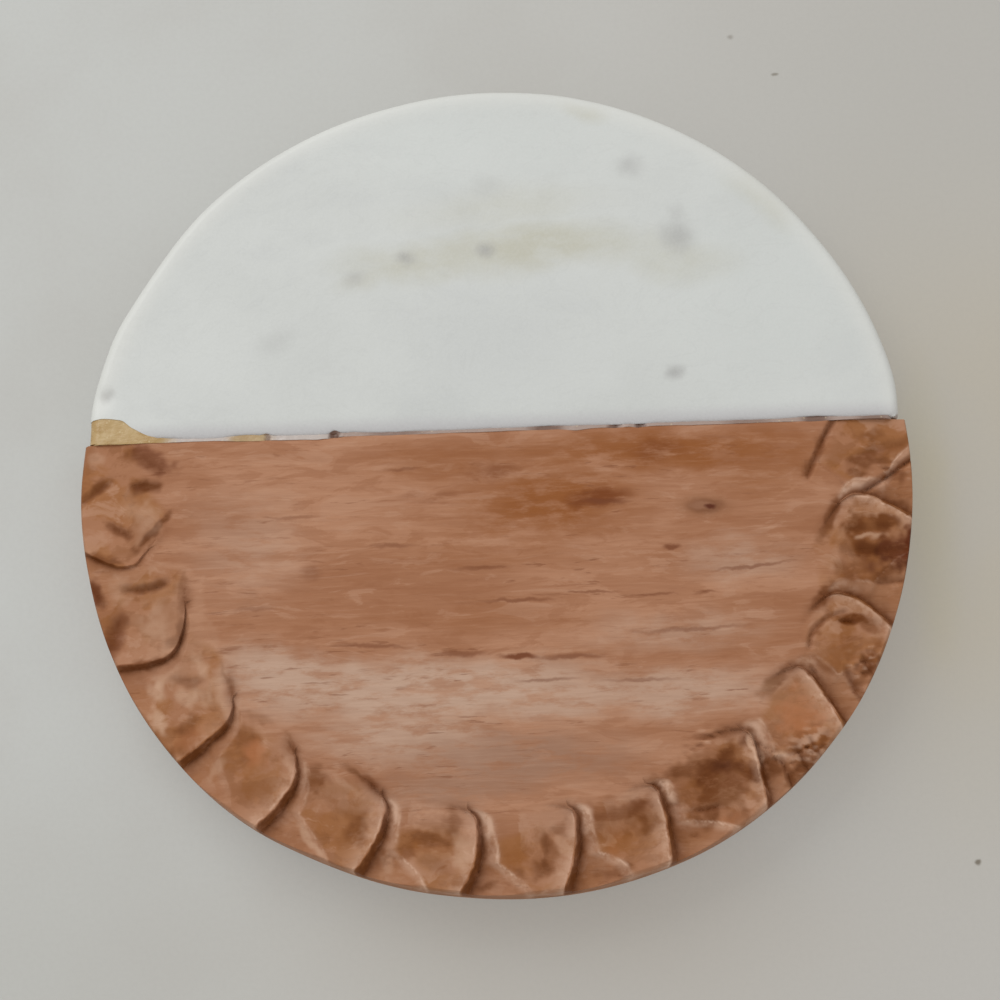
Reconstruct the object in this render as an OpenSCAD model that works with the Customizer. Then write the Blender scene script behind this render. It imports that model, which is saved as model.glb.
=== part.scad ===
// Round drink coaster: a marble segment and a carved hardwood segment, pinned and glued on one seam.
// X runs along the seam, +Y towards the marble, +Z up. The feet stand on the plane z = 0, and the
// origin is under the middle of the coaster's outline.

/* [Disc] */
// Diameter of the wooden segment's rim
disc_d = 100; // [80:1:130]
// Thickness of the stone and the wood
disc_t = 8; // [6:0.5:14]
// Distance of the seam from the disc's centre, towards the marble
seam_offset = 5.4; // [0:0.1:15]
// How far the marble's rim lies inside the wood's
marble_inset = 0.9; // [0:0.1:2]

/* [Edges] */
// Radius of the marble's upper edge
marble_top_r = 1.2; // [0.5:0.1:2.5]
// Radius of the marble's lower edge
marble_bottom_r = 0.8; // [0.3:0.1:2]
// Radius of the wood's upper edge
wood_top_r = 1.6; // [0.5:0.1:2.5]
// Radius of the wood's lower edge
wood_bottom_r = 2; // [0.5:0.1:3]

/* [Scale carving] */
// Angle from one stop cut to the next
scale_pitch_a = 14.8; // [12:0.2:18]
// Number of stop cuts, from one end of the seam to the other
scale_count = 14; // [8:1:16]
// How far a scale reaches in from the rim
scale_reach = 11; // [8:0.5:14]
// How far a stop cut reaches in from the rim
cut_reach = 9.4; // [6:0.2:12]
// Sideways lean of a stop cut between the rim and its inner end
cut_lean = 1.4; // [0:0.1:3]
// Depth of a stop cut at the rim
cut_depth = 2; // [1:0.1:3]
// Slope of the facet that rises out of a stop cut
cut_facet_a = 24; // [15:1:40]
// Lean of a stop cut's steep wall
cut_wall_a = 12; // [3:1:20]
// How far the flared facet beside a stop cut reaches in from the rim
flare_reach = 3.4; // [2:0.1:6]
// Width of the flared facet at the rim
flare_w = 9.2; // [6:0.1:10]
// Slope of the flared facet
flare_a = 22; // [10:1:30]
// Radius of a scale's rounded inner end
scale_end_r = 8.5; // [7:0.5:11]
// Depth of a scale at its inner end
scale_step = 0.35; // [0.2:0.05:0.6]
// Depth of a scale at the rim
scale_drop = 0.9; // [0.4:0.05:1.5]

/* [Glued joint] */
// Thickness of the glue between the two segments
glue_t = 0.3; // [0.1:0.05:0.6]
// Diameter of a dowel
dowel_d = 4; // [2:0.5:5]
// Length of a dowel
dowel_l = 24; // [16:1:30]
// Distance between the two dowels
dowel_spacing = 50; // [30:1:56]
// Length of the marble's broken corner along the seam
chip_l = 9.5; // [5:0.5:14]
// Reach of the broken corner into the marble
chip_w = 2.7; // [1:0.1:4]
// Depth of the broken corner below the top
chip_depth = 5; // [2:0.5:5.5]

/* [Feet] */
// Diameter of a rubber foot where it is stuck on
foot_d = 9; // [6:0.5:12]
// Diameter of a rubber foot's lower end
foot_tip_d = 7.4; // [4:0.2:8]
// Height of a rubber foot
foot_h = 1.6; // [1:0.1:4]
// Radius of a foot's lower edge
foot_edge_r = 0.5; // [0.2:0.1:0.8]
// Thickness of the adhesive disc on a foot
adhesive_t = 0.2; // [0.1:0.05:0.5]
// How far the adhesive's edge lies inside the foot's
adhesive_inset = 0.4; // [0.1:0.1:1]
// Distance of the feet from the disc's centre
foot_circle_r = 34; // [26:1:38]

/* [Hidden] */
$fn = 96;

// Cuts run past the faces that they open by this much
overrun = 1;
// The faces beside a stop cut run this far into it
cut_overlap = 0.12;

disc_r = disc_d / 2;
marble_r = disc_r - marble_inset;
disc_y = marble_inset / 2;
seam_y = disc_y + seam_offset;
bottom_z = foot_h + adhesive_t;
top_z = bottom_z + disc_t;

// Hand cutting puts each stop cut a little off its even place, as shares of the pitch
cut_wander_shares = [0, 0, 0.14, 0.18, 0.09, 0.06, 0.02, -0.06, -0.08, -0.1, -0.1, -0.08, -0.01, 0];
// The even places lie about a middle one that is turned from straight down by this share of the pitch
cut_middle_share = 0.04;
cut_middle_a = 270 + cut_middle_share * scale_pitch_a;
// A scale's rounded end is centred this share of the pitch before its stop cut
scale_centre_share = 0.27;
// The flared facet starts this share of its width beside the stop cut
flare_start_share = 0.38;

glue_gap = glue_t / 2;
bore_r = dowel_d / 2 + glue_gap;
bore_l = dowel_l + glue_t;
dowel_z = bottom_z + disc_t / 2;
seam_half_w = sqrt(pow(marble_r, 2) - pow(seam_offset, 2));
// The broken corner's outline from the rim along the seam, as shares of its length and reach
chip_outline_shares = [[-0.3, 0], [-0.3, 1.05], [0.2, 1], [0.5, 0.92], [0.72, 0.42], [1, 0.12], [1, 0]];
// The feet stand at these turns of the disc, as shares of a full turn
foot_turn_shares = [0.375, 0.125, 0.625, 0.875];

marble_colour = [0.86, 0.87, 0.85];
wood_colour = [0.62, 0.42, 0.31];
epoxy_colour = [0.78, 0.66, 0.4];
dowel_colour = [0.75, 0.76, 0.78];
rubber_colour = [0.16, 0.16, 0.17];
adhesive_colour = [0.9, 0.9, 0.88];

// Half of a round plate's section, with a rounded upper and lower edge
module plate_section(r, t, top_r, bottom_r) {
  difference() {
    square([r, t]);
    translate([r - top_r, t - top_r])
      difference() {
        square(top_r + overrun);
        circle(top_r);
      }
    translate([r - bottom_r, -overrun])
      difference() {
        square([bottom_r + overrun, bottom_r + overrun]);
        translate([0, bottom_r + overrun]) circle(bottom_r);
      }
  }
}

module plate(r, top_r, bottom_r)
  translate([0, disc_y, bottom_z])
    rotate_extrude() plate_section(r, disc_t, top_r, bottom_r);

module marble_plate() plate(marble_r, marble_top_r, marble_bottom_r);

// A block over the whole disc between two places along Y
module band(y0, y1)
  translate([-disc_d, y0, 0]) cube([2 * disc_d, y1 - y0, top_z + overrun]);

module on_dowel_axis(side, r, l)
  translate([side * dowel_spacing / 2, seam_y + l / 2, dowel_z])
    rotate([90, 0, 0]) cylinder(r = r, h = l);

module dowel_bores()
  for (side = [-1, 1]) on_dowel_axis(side, bore_r, bore_l);

// The block of marble that broke away at the seam's left end
module broken_corner()
  translate([-seam_half_w, seam_y - glue_gap, top_z - chip_depth])
    linear_extrude(chip_depth + overrun)
      polygon([for (s = chip_outline_shares) [s[0] * chip_l, s[1] * (chip_w + glue_gap)]]);

// The angle of one stop cut at the rim
function cut_a(k) =
  cut_middle_a
  + (k - (scale_count - 1) / 2 + cut_wander_shares[k % len(cut_wander_shares)]) * scale_pitch_a;

// Puts its children at a stop cut's inner end: X runs out along the cut, Y beside it
module along_cut()
  translate([disc_r - cut_reach, cut_lean, top_z])
    rotate([0, 0, -atan(cut_lean / cut_reach)]) children();

// What a stop cut takes away: a steep wall on one side, a slanting facet on the other
module stop_cut() {
  side_w = cut_depth / tan(cut_facet_a) + overrun;
  side_h = cut_depth + overrun;
  along_cut()
    rotate([0, atan(cut_depth / cut_reach), 0])
      rotate([90, 0, 90])
        translate([0, 0, -overrun])
          linear_extrude(cut_reach + 3 * overrun)
            polygon([
              [0, 0],
              [side_w, side_w * tan(cut_facet_a)],
              [side_w, side_h + side_w],
              [-(side_h + side_w) * tan(cut_wall_a), side_h + side_w]
            ]);
}

// One side of a stop cut's line: 1 is the side of the flared facet, -1 the side of the scale.
// The two ends lie apart, inside what the stop cut itself takes away.
module cut_side(side) {
  edge = side > 0 ? 2 * cut_overlap : cut_overlap;
  along_cut()
    translate([-disc_r, side > 0 ? edge : edge - disc_r, -disc_t])
      cube([2 * disc_r, disc_r, 2 * disc_t]);
}

// The facet that opens the stop cut towards the rim
module flare() {
  start_w = flare_start_share * flare_w;
  intersection() {
    cut_side(1);
    translate([disc_r - flare_reach, start_w, top_z])
      rotate([0, 0, atan2(flare_w - start_w, flare_reach)])
        rotate([flare_a, 0, 0])
          translate([-flare_w, -flare_w, 0]) cube([3 * flare_w, flare_w, disc_t]);
  }
}

// The sunk face of the scale that ends at a stop cut
module scale_face() {
  centre_a = -scale_centre_share * scale_pitch_a;
  inner_r = disc_r - scale_reach;
  slope_a = atan((scale_drop - scale_step) / scale_reach);
  intersection() {
    cut_side(-1);
    rotate([0, 0, centre_a])
      translate([inner_r + scale_end_r, 0, top_z - disc_t / 2]) cylinder(r = scale_end_r, h = disc_t);
    translate([inner_r, 0, top_z - scale_step])
      rotate([0, slope_a, 0])
        translate([-disc_r, -disc_r, 0]) cube([2 * disc_r, disc_d, disc_t]);
  }
}

module scale_carving()
  translate([0, disc_y, 0])
    for (k = [0 : scale_count - 1])
      rotate([0, 0, cut_a(k)]) {
        scale_face();
        stop_cut();
        flare();
      }

module marble_segment()
  color(marble_colour)
    difference() {
      intersection() {
        marble_plate();
        band(seam_y + glue_gap, seam_y + disc_d);
      }
      dowel_bores();
      broken_corner();
    }

module wood_segment()
  color(wood_colour)
    difference() {
      intersection() {
        plate(disc_r, wood_top_r, wood_bottom_r);
        band(seam_y - disc_d - marble_inset, seam_y - glue_gap);
      }
      dowel_bores();
      scale_carving();
    }

// The cured glue: the film in the seam, the fill in the broken corner and the sleeves on the dowels
module epoxy_seam()
  color(epoxy_colour)
    difference() {
      union() {
        intersection() {
          marble_plate();
          union() {
            band(seam_y - glue_gap, seam_y + glue_gap);
            broken_corner();
          }
        }
        dowel_bores();
      }
      for (side = [-1, 1]) on_dowel_axis(side, dowel_d / 2, dowel_l);
    }

module seam_dowel(side)
  color(dowel_colour) on_dowel_axis(side, dowel_d / 2, dowel_l);

module at_foot(turn_share)
  translate([0, disc_y, 0]) rotate([0, 0, turn_share * 360]) translate([foot_circle_r, 0, 0]) children();

// A foot narrows to its lower end, which is flat with a rounded edge
module foot(turn_share)
  color(rubber_colour)
    at_foot(turn_share)
      union() {
        rotate_extrude()
          difference() {
            square([foot_tip_d / 2, foot_edge_r]);
            translate([foot_tip_d / 2 - foot_edge_r, -overrun])
              difference() {
                square([foot_edge_r + overrun, foot_edge_r + overrun]);
                translate([0, foot_edge_r + overrun]) circle(foot_edge_r);
              }
          }
        translate([0, 0, foot_edge_r])
          cylinder(d1 = foot_tip_d, d2 = foot_d, h = foot_h - foot_edge_r);
      }

module foot_adhesive(turn_share)
  color(adhesive_colour)
    at_foot(turn_share)
      translate([0, 0, foot_h]) cylinder(d = foot_d - 2 * adhesive_inset, h = adhesive_t);

marble_segment();
wood_segment();
epoxy_seam();
seam_dowel(-1);  // seam_dowel_left
seam_dowel(1);  // seam_dowel_right
foot(foot_turn_shares[0]);  // foot_marble_left
foot(foot_turn_shares[1]);  // foot_marble_right
foot(foot_turn_shares[2]);  // foot_wood_left
foot(foot_turn_shares[3]);  // foot_wood_right
foot_adhesive(foot_turn_shares[0]);  // foot_adhesive_marble_left
foot_adhesive(foot_turn_shares[1]);  // foot_adhesive_marble_right
foot_adhesive(foot_turn_shares[2]);  // foot_adhesive_wood_left
foot_adhesive(foot_turn_shares[3]);  // foot_adhesive_wood_right
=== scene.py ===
"""Round drink coaster of white marble and carved hardwood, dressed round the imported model.

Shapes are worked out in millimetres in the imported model's frame: X along the seam, +Y towards the
marble, +Z up, the floor at z = 0. Angles turn counter-clockwise about the disc's middle from +X.
"""

import math

import bmesh
import bpy
import numpy as np
from mathutils import Euler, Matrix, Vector


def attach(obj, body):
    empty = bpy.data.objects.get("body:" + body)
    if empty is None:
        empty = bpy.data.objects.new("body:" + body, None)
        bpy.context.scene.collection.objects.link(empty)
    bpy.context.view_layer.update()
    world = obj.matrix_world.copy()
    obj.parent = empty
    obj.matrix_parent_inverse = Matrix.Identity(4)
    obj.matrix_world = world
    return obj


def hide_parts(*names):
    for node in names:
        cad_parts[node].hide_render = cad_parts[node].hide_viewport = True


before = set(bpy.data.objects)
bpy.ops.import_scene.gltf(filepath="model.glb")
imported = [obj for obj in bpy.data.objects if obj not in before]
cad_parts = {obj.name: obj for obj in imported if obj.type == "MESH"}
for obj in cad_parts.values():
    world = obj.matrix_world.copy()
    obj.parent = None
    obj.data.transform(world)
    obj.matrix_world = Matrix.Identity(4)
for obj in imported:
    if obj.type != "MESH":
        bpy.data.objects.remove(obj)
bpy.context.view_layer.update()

# Sizes, as in the CAD, in mm
MM = 0.001
DISC_R = 50
MARBLE_R = 49.1
DISC_Y = 0.45
SEAM_Y = 5.85
GLUE_HALF = 0.15
BOTTOM_Z = 1.8
TOP_Z = 9.8
WOOD_TOP_R, WOOD_BOTTOM_R = 1.6, 2
MARBLE_TOP_R, MARBLE_BOTTOM_R = 1.2, 0.8
DOWEL_X, DOWEL_Z, DOWEL_R, DOWEL_HALF_L = 25, 5.8, 2, 12
BORE_R = DOWEL_R + GLUE_HALF
BORE_HALF_L = DOWEL_HALF_L + GLUE_HALF
CHIP_DEPTH = 5

MIDDLE = np.array([0, DISC_Y])
# The carving lies outside this radius, and its stains outside the second
CARVED_FROM_R = 34
STAINED_FROM_R = 36.5


# Small numeric helpers
def smooth(x, lo, hi):
    """0 below lo, 1 above hi and an even S between them."""
    t = np.clip((x - lo) / (hi - lo), 0, 1)
    return t * t * (3 - 2 * t)


def bump(x, width):
    return np.exp(-(x / width) ** 2)


def soft_max(a, b, k):
    """The greater of a and b, rounded over k where they cross."""
    h = np.clip(0.5 + 0.5 * (a - b) / k, 0, 1)
    return b + (a - b) * h + k * h * (1 - h)


def lattice(x, y, cell, seed):
    """Even noise of about -1 to 1 with bumps of one cell."""
    n = 64
    table = np.random.default_rng(seed).uniform(-1, 1, (n, n))
    u, v = np.asarray(x) / cell, np.asarray(y) / cell
    i, j = np.floor(u).astype(int), np.floor(v).astype(int)
    a, b = smooth(u - i, 0, 1), smooth(v - j, 0, 1)
    i0, j0, i1, j1 = i % n, j % n, (i + 1) % n, (j + 1) % n
    low = table[i0, j0] * (1 - a) + table[i1, j0] * a
    high = table[i0, j1] * (1 - a) + table[i1, j1] * a
    return low * (1 - b) + high * b


def at(angle, radius):
    """The point at an angle in degrees and a radius about the disc's middle."""
    a = np.radians(angle)
    return np.stack([radius * np.cos(a), DISC_Y + radius * np.sin(a)], -1)


def polar(p):
    """Angle in degrees, 90 to 450, and radius of points about the disc's middle."""
    q = p - MIDDLE
    a = np.degrees(np.arctan2(q[..., 1], q[..., 0])) % 360
    return np.where(a < 90, a + 360, a), np.hypot(q[..., 0], q[..., 1])


def curve_through(points, steps=14):
    """A smooth line through the points."""
    p = np.array(points, float)
    p = np.vstack([2 * p[0] - p[1], p, 2 * p[-1] - p[-2]])
    out = []
    for a, b, c, d in zip(p, p[1:], p[2:], p[3:]):
        t = np.linspace(0, 1, steps, endpoint=False)[:, None]
        out.append(0.5 * (2 * b + (c - a) * t + (2 * a - 5 * b + 4 * c - d) * t ** 2
                          + (3 * b - a - 3 * c + d) * t ** 3))
    return np.vstack(out + [p[-2][None]])


def path_length(path):
    return np.hypot(*np.diff(path, axis=0).T).sum()


def along(path, p):
    """Signed distance from a path, right of its direction counted up, and the way along it."""
    a, b = path[:-1], path[1:]
    d = b - a
    length = np.hypot(d[:, 0], d[:, 1])
    start = np.concatenate([[0], np.cumsum(length)[:-1]])
    q = p[:, None, :] - a[None]
    t = np.clip((q * d).sum(-1) / length ** 2, 0, 1)
    off = q - t[..., None] * d
    dist = np.hypot(off[..., 0], off[..., 1])
    k = dist.argmin(1)
    row = np.arange(len(p))
    side = d[k, 1] * off[row, k, 0] - d[k, 0] * off[row, k, 1]
    return np.where(side >= 0, 1, -1) * dist[row, k], start[k] + t[row, k] * length[k]


# The carving
# Each stop cut from the rim by its bulge and inner corner to the end of its hook, with its strength,
# then how pale its crest and the ridge beside it are rubbed, and how deep its hook is
CUTS = [
    ([(188.8, 50), (191.4, 47), (192.4, 44.5), (190.5, 42.3), (185.4, 38.2)], 0.5, 0.1, 0, 1),
    ([(205.3, 50), (206.9, 46.6), (207.4, 43.6), (205, 41.3), (201.8, 40), (195.4, 38.5)], 0.72, 0.22, 0, 1),
    ([(220.9, 50), (221.3, 46.1), (221.4, 42.9), (219.4, 40.9), (212.5, 38.4)], 0.92, 0.35, 0.25, 0.8),
    ([(234.4, 50), (235.3, 46.6), (235.3, 43.4), (233.3, 40.9), (228.6, 39.2)], 1, 0.7, 0.5, 0.8),
    ([(248.9, 50), (249.9, 46.9), (250.4, 43.6), (249.1, 40.8), (241.2, 38.7)], 1.05, 0.8, 0.85, 1),
    ([(263.2, 50), (264.6, 47), (265, 43.7), (263.8, 40.5), (257, 39.5)], 1.12, 0.85, 1, 0.3),
    ([(277, 50), (278.8, 46.7), (280.1, 43.5), (280.1, 40.7), (274.6, 39.5)], 1.08, 0.95, 1, 0.3),
    ([(291.6, 50), (292.9, 46.6), (293.9, 43.5), (293.6, 41), (288.4, 40.4)], 0.92, 1, 1, 0.4),
    ([(306.3, 50), (308.7, 46.4), (310.6, 43.7), (310.8, 41.7), (305.7, 39.3)], 0.86, 0.95, 0.75, 0.9),
    ([(321.1, 50), (322.9, 46.6), (324.3, 43.8), (324.1, 41.7), (318.1, 39.4)], 0.84, 0.95, 0.4, 1),
    ([(336.2, 50), (337.7, 46.7), (338.3, 43.8), (337.1, 41.6), (330.9, 39.4)], 0.74, 0.95, 0.45, 1),
    ([(351.9, 50), (353.4, 47), (354.7, 43.7), (353.1, 41), (344.6, 38.1)], 0.72, 1, 0.85, 1),
]
# The line of a stop cut runs on past the rim to this radius
CUT_RUNOUT_R = 52
# Depth of a stop cut at the rim, and the slope of its steep wall
CUT_DEPTH = 2.05
WALL_SLOPE = 2.3
# Width of the facet beside a stop cut, by radius, and the finish that is left on it
FACET_R = [39.5, 44, 46.3, 47.2, 48.4, 50.5]
FACET_W = [1.5, 2.1, 2.7, 4.5, 6.8, 9.6]
FACET_FINISH = 0.45
# A scale's depth at its inner edge, its slope from there, and its rise beside the stop cut
SCALE_STEP = 0.42
SCALE_SLOPE = 0.062
CREST_RISE = 0.3
CREST_W = 1.2
# The scale after the last stop cut: its inner edge as angles and radii, and its depth there
LAST_EDGE_A = [352, 355.7, 359.9, 364.2, 368]
LAST_EDGE_R = [45, 41.6, 38.2, 38.9, 40.4]
LAST_STEP = 0.16
HOOK_DEPTH = 0.55
# How round the meeting of two cut faces is
ROUND = 0.1
# Short gouge strokes: the line as angle and radius, half width and depth
STROKES = [
    ([(178.7, 45.6), (180.2, 47.6), (182.4, 50.5)], 0.85, 0.42),
    ([(179.8, 44.1), (180.4, 39.7)], 0.95, 0.4),
    ([(174.2, 45.2), (175.8, 42.2), (178.1, 39.4)], 1.2, 0.3),
    ([(185.4, 47.1), (186.7, 45.5), (188.4, 43.7)], 0.7, 0.42),
    ([(195.5, 46.8), (196.8, 43.3), (196.7, 40.4)], 0.75, 0.45),
    ([(193, 50.5), (194.9, 49.4), (198, 48.9)], 0.9, 0.6),
    ([(198.9, 47.4), (201.5, 48.6), (203.9, 50.5)], 1.5, 0.45),
    ([(210.6, 45.5), (212.6, 43.5), (214.8, 41.7)], 0.8, 0.22),
    ([(297.2, 45.6), (299.1, 46.4), (301.8, 46.9)], 0.5, 0.35),
    ([(305.3, 39.3), (306.3, 39.8), (306.8, 40.7)], 0.3, 0.3),
    ([(306.8, 39.7), (307.8, 40.2), (308.3, 41.1)], 0.3, 0.3),
    ([(308.3, 39.8), (309.3, 40.4), (309.7, 41.3)], 0.3, 0.28),
    ([(310.8, 50), (311.8, 47.8), (311.8, 46.2)], 0.55, 0.6),
    ([(313.6, 50.4), (314.2, 48.6), (315, 46.9)], 0.5, 0.45),
    ([(316.2, 50.4), (316.5, 48.9), (317.3, 47.3)], 0.45, 0.4),
    ([(324.4, 44.4), (325.2, 43.9), (325.7, 42.9)], 0.45, 0.5),
    ([(325.7, 50.4), (326.9, 48.3), (328.7, 46.3)], 0.8, 0.6),
    ([(328.9, 50.4), (330.1, 48.8), (331.5, 47.4)], 0.6, 0.5),
    ([(327.3, 42.2), (330.7, 41.5), (333.9, 42.5), (336.3, 44.6)], 0.5, 0.34),
    ([(335.1, 46), (334.4, 44.5), (333.9, 43.5)], 0.36, 0.4),
    ([(343.2, 50.1), (342.1, 47.8), (341.3, 46.1)], 0.55, 0.4),
    ([(347.6, 50.2), (346.3, 46.5), (345.1, 42.5)], 0.8, 0.3),
    ([(350.4, 48), (349.4, 44.9), (348.7, 41.8)], 0.8, 0.3),
    ([(355.1, 43.4), (357.4, 46.2), (360.8, 50.5)], 0.6, 0.85),
    ([(362.8, 50.1), (362, 46.7), (360.8, 42.5)], 0.9, 0.28),
    ([(356.2, 36.5), (360.4, 37.8), (364.6, 39.4), (367.8, 41.1)], 0.6, 0.45),
]
# A stroke this deep is as dark as strokes get
STROKE_SHADE = 0.45
# How far inside its inner edge each scale keeps its finish
FINISH_FROM = [0.2, 0.2, 0.2, 0.2, 0.9, 1.9, 2.2, 1.6, 0.4, 0.2, 0.2, 0.2, 0.2]
# Splintered patches: angle, radius, half length round the rim, half width, strength
TORN = [(315.5, 48.6, 3.6, 1.9, 1), (311.5, 45.2, 1.6, 2.2, 0.7), (329.6, 48.4, 2.6, 1.6, 0.9),
        (358.4, 47.4, 1.6, 2, 0.8), (346.4, 48, 2.4, 1.6, 0.2), (296, 44.6, 1.2, 2.4, 0.5),
        (252.6, 47.6, 1.2, 1.2, 0.6), (304.5, 39.6, 2, 0.9, 0.7)]
TEAR_DEPTH = 0.32
# Chips in the upper edges along the seam: place along X, half width, how far the edge draws back
WOOD_EDGE_CHIPS = [(-19.4, 0.6, 0.25), (-21.5, 1.6, 0.22), (-25, 2.6, 0.2), (-29.5, 2.6, 0.14),
                   (14.4, 0.6, 0.12), (17.2, 0.7, 0.16), (38.4, 2, 0.12), (9.6, 1.3, 0.22), (26, 4, 0.08)]
MARBLE_EDGE_CHIPS = [(-40.6, 2.2, 0.22), (-29.8, 2, 0.24), (-27.4, 0.5, 0.3), (-19.2, 0.6, 0.5),
                     (-17.2, 1.2, 0.14), (38.2, 2.2, 0.2), (6, 2.4, 0.14)]
WOOD_EDGE_SEED, MARBLE_EDGE_SEED = 21, 31
# How far down from the top the seam's edges wander
EDGE_DROP = 0.5
# How far the hand-finished rims lie outside or inside a true circle, by angle
WOOD_RIM = [(174.4, -0.6), (181.5, -0.3), (193, -0.2), (199.5, 0.05), (211, 0.4), (222.5, 0.55), (229, 0.5),
            (235, 0.3), (240.5, -0.1), (246, -0.28), (257.5, -0.4), (263, -0.5), (269, -0.4), (280, -0.12),
            (291, 0.12), (296.5, 0.3), (302, 0.4), (313, 0.42), (325, 0.3), (331, 0.1), (337, -0.15),
            (343, -0.3), (349, -0.47), (360, -0.6), (365.6, -0.7)]
MARBLE_RIM = [(5.8, -0.72), (10, -0.1), (13, 0.12), (17, 0.1), (22, 0.1), (28, 0.08), (36, 0), (46, 0.15),
              (56, 0.15), (70, 0.14), (80, 0.12), (85, 0), (92, -0.04), (104, -0.2), (120, -0.08),
              (135, 0.12), (146, -0.16), (151, -0.05), (157, 0.38), (163, 0.3), (168.5, 0.36), (171, -0.05),
              (174.2, -0.22)]
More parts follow.
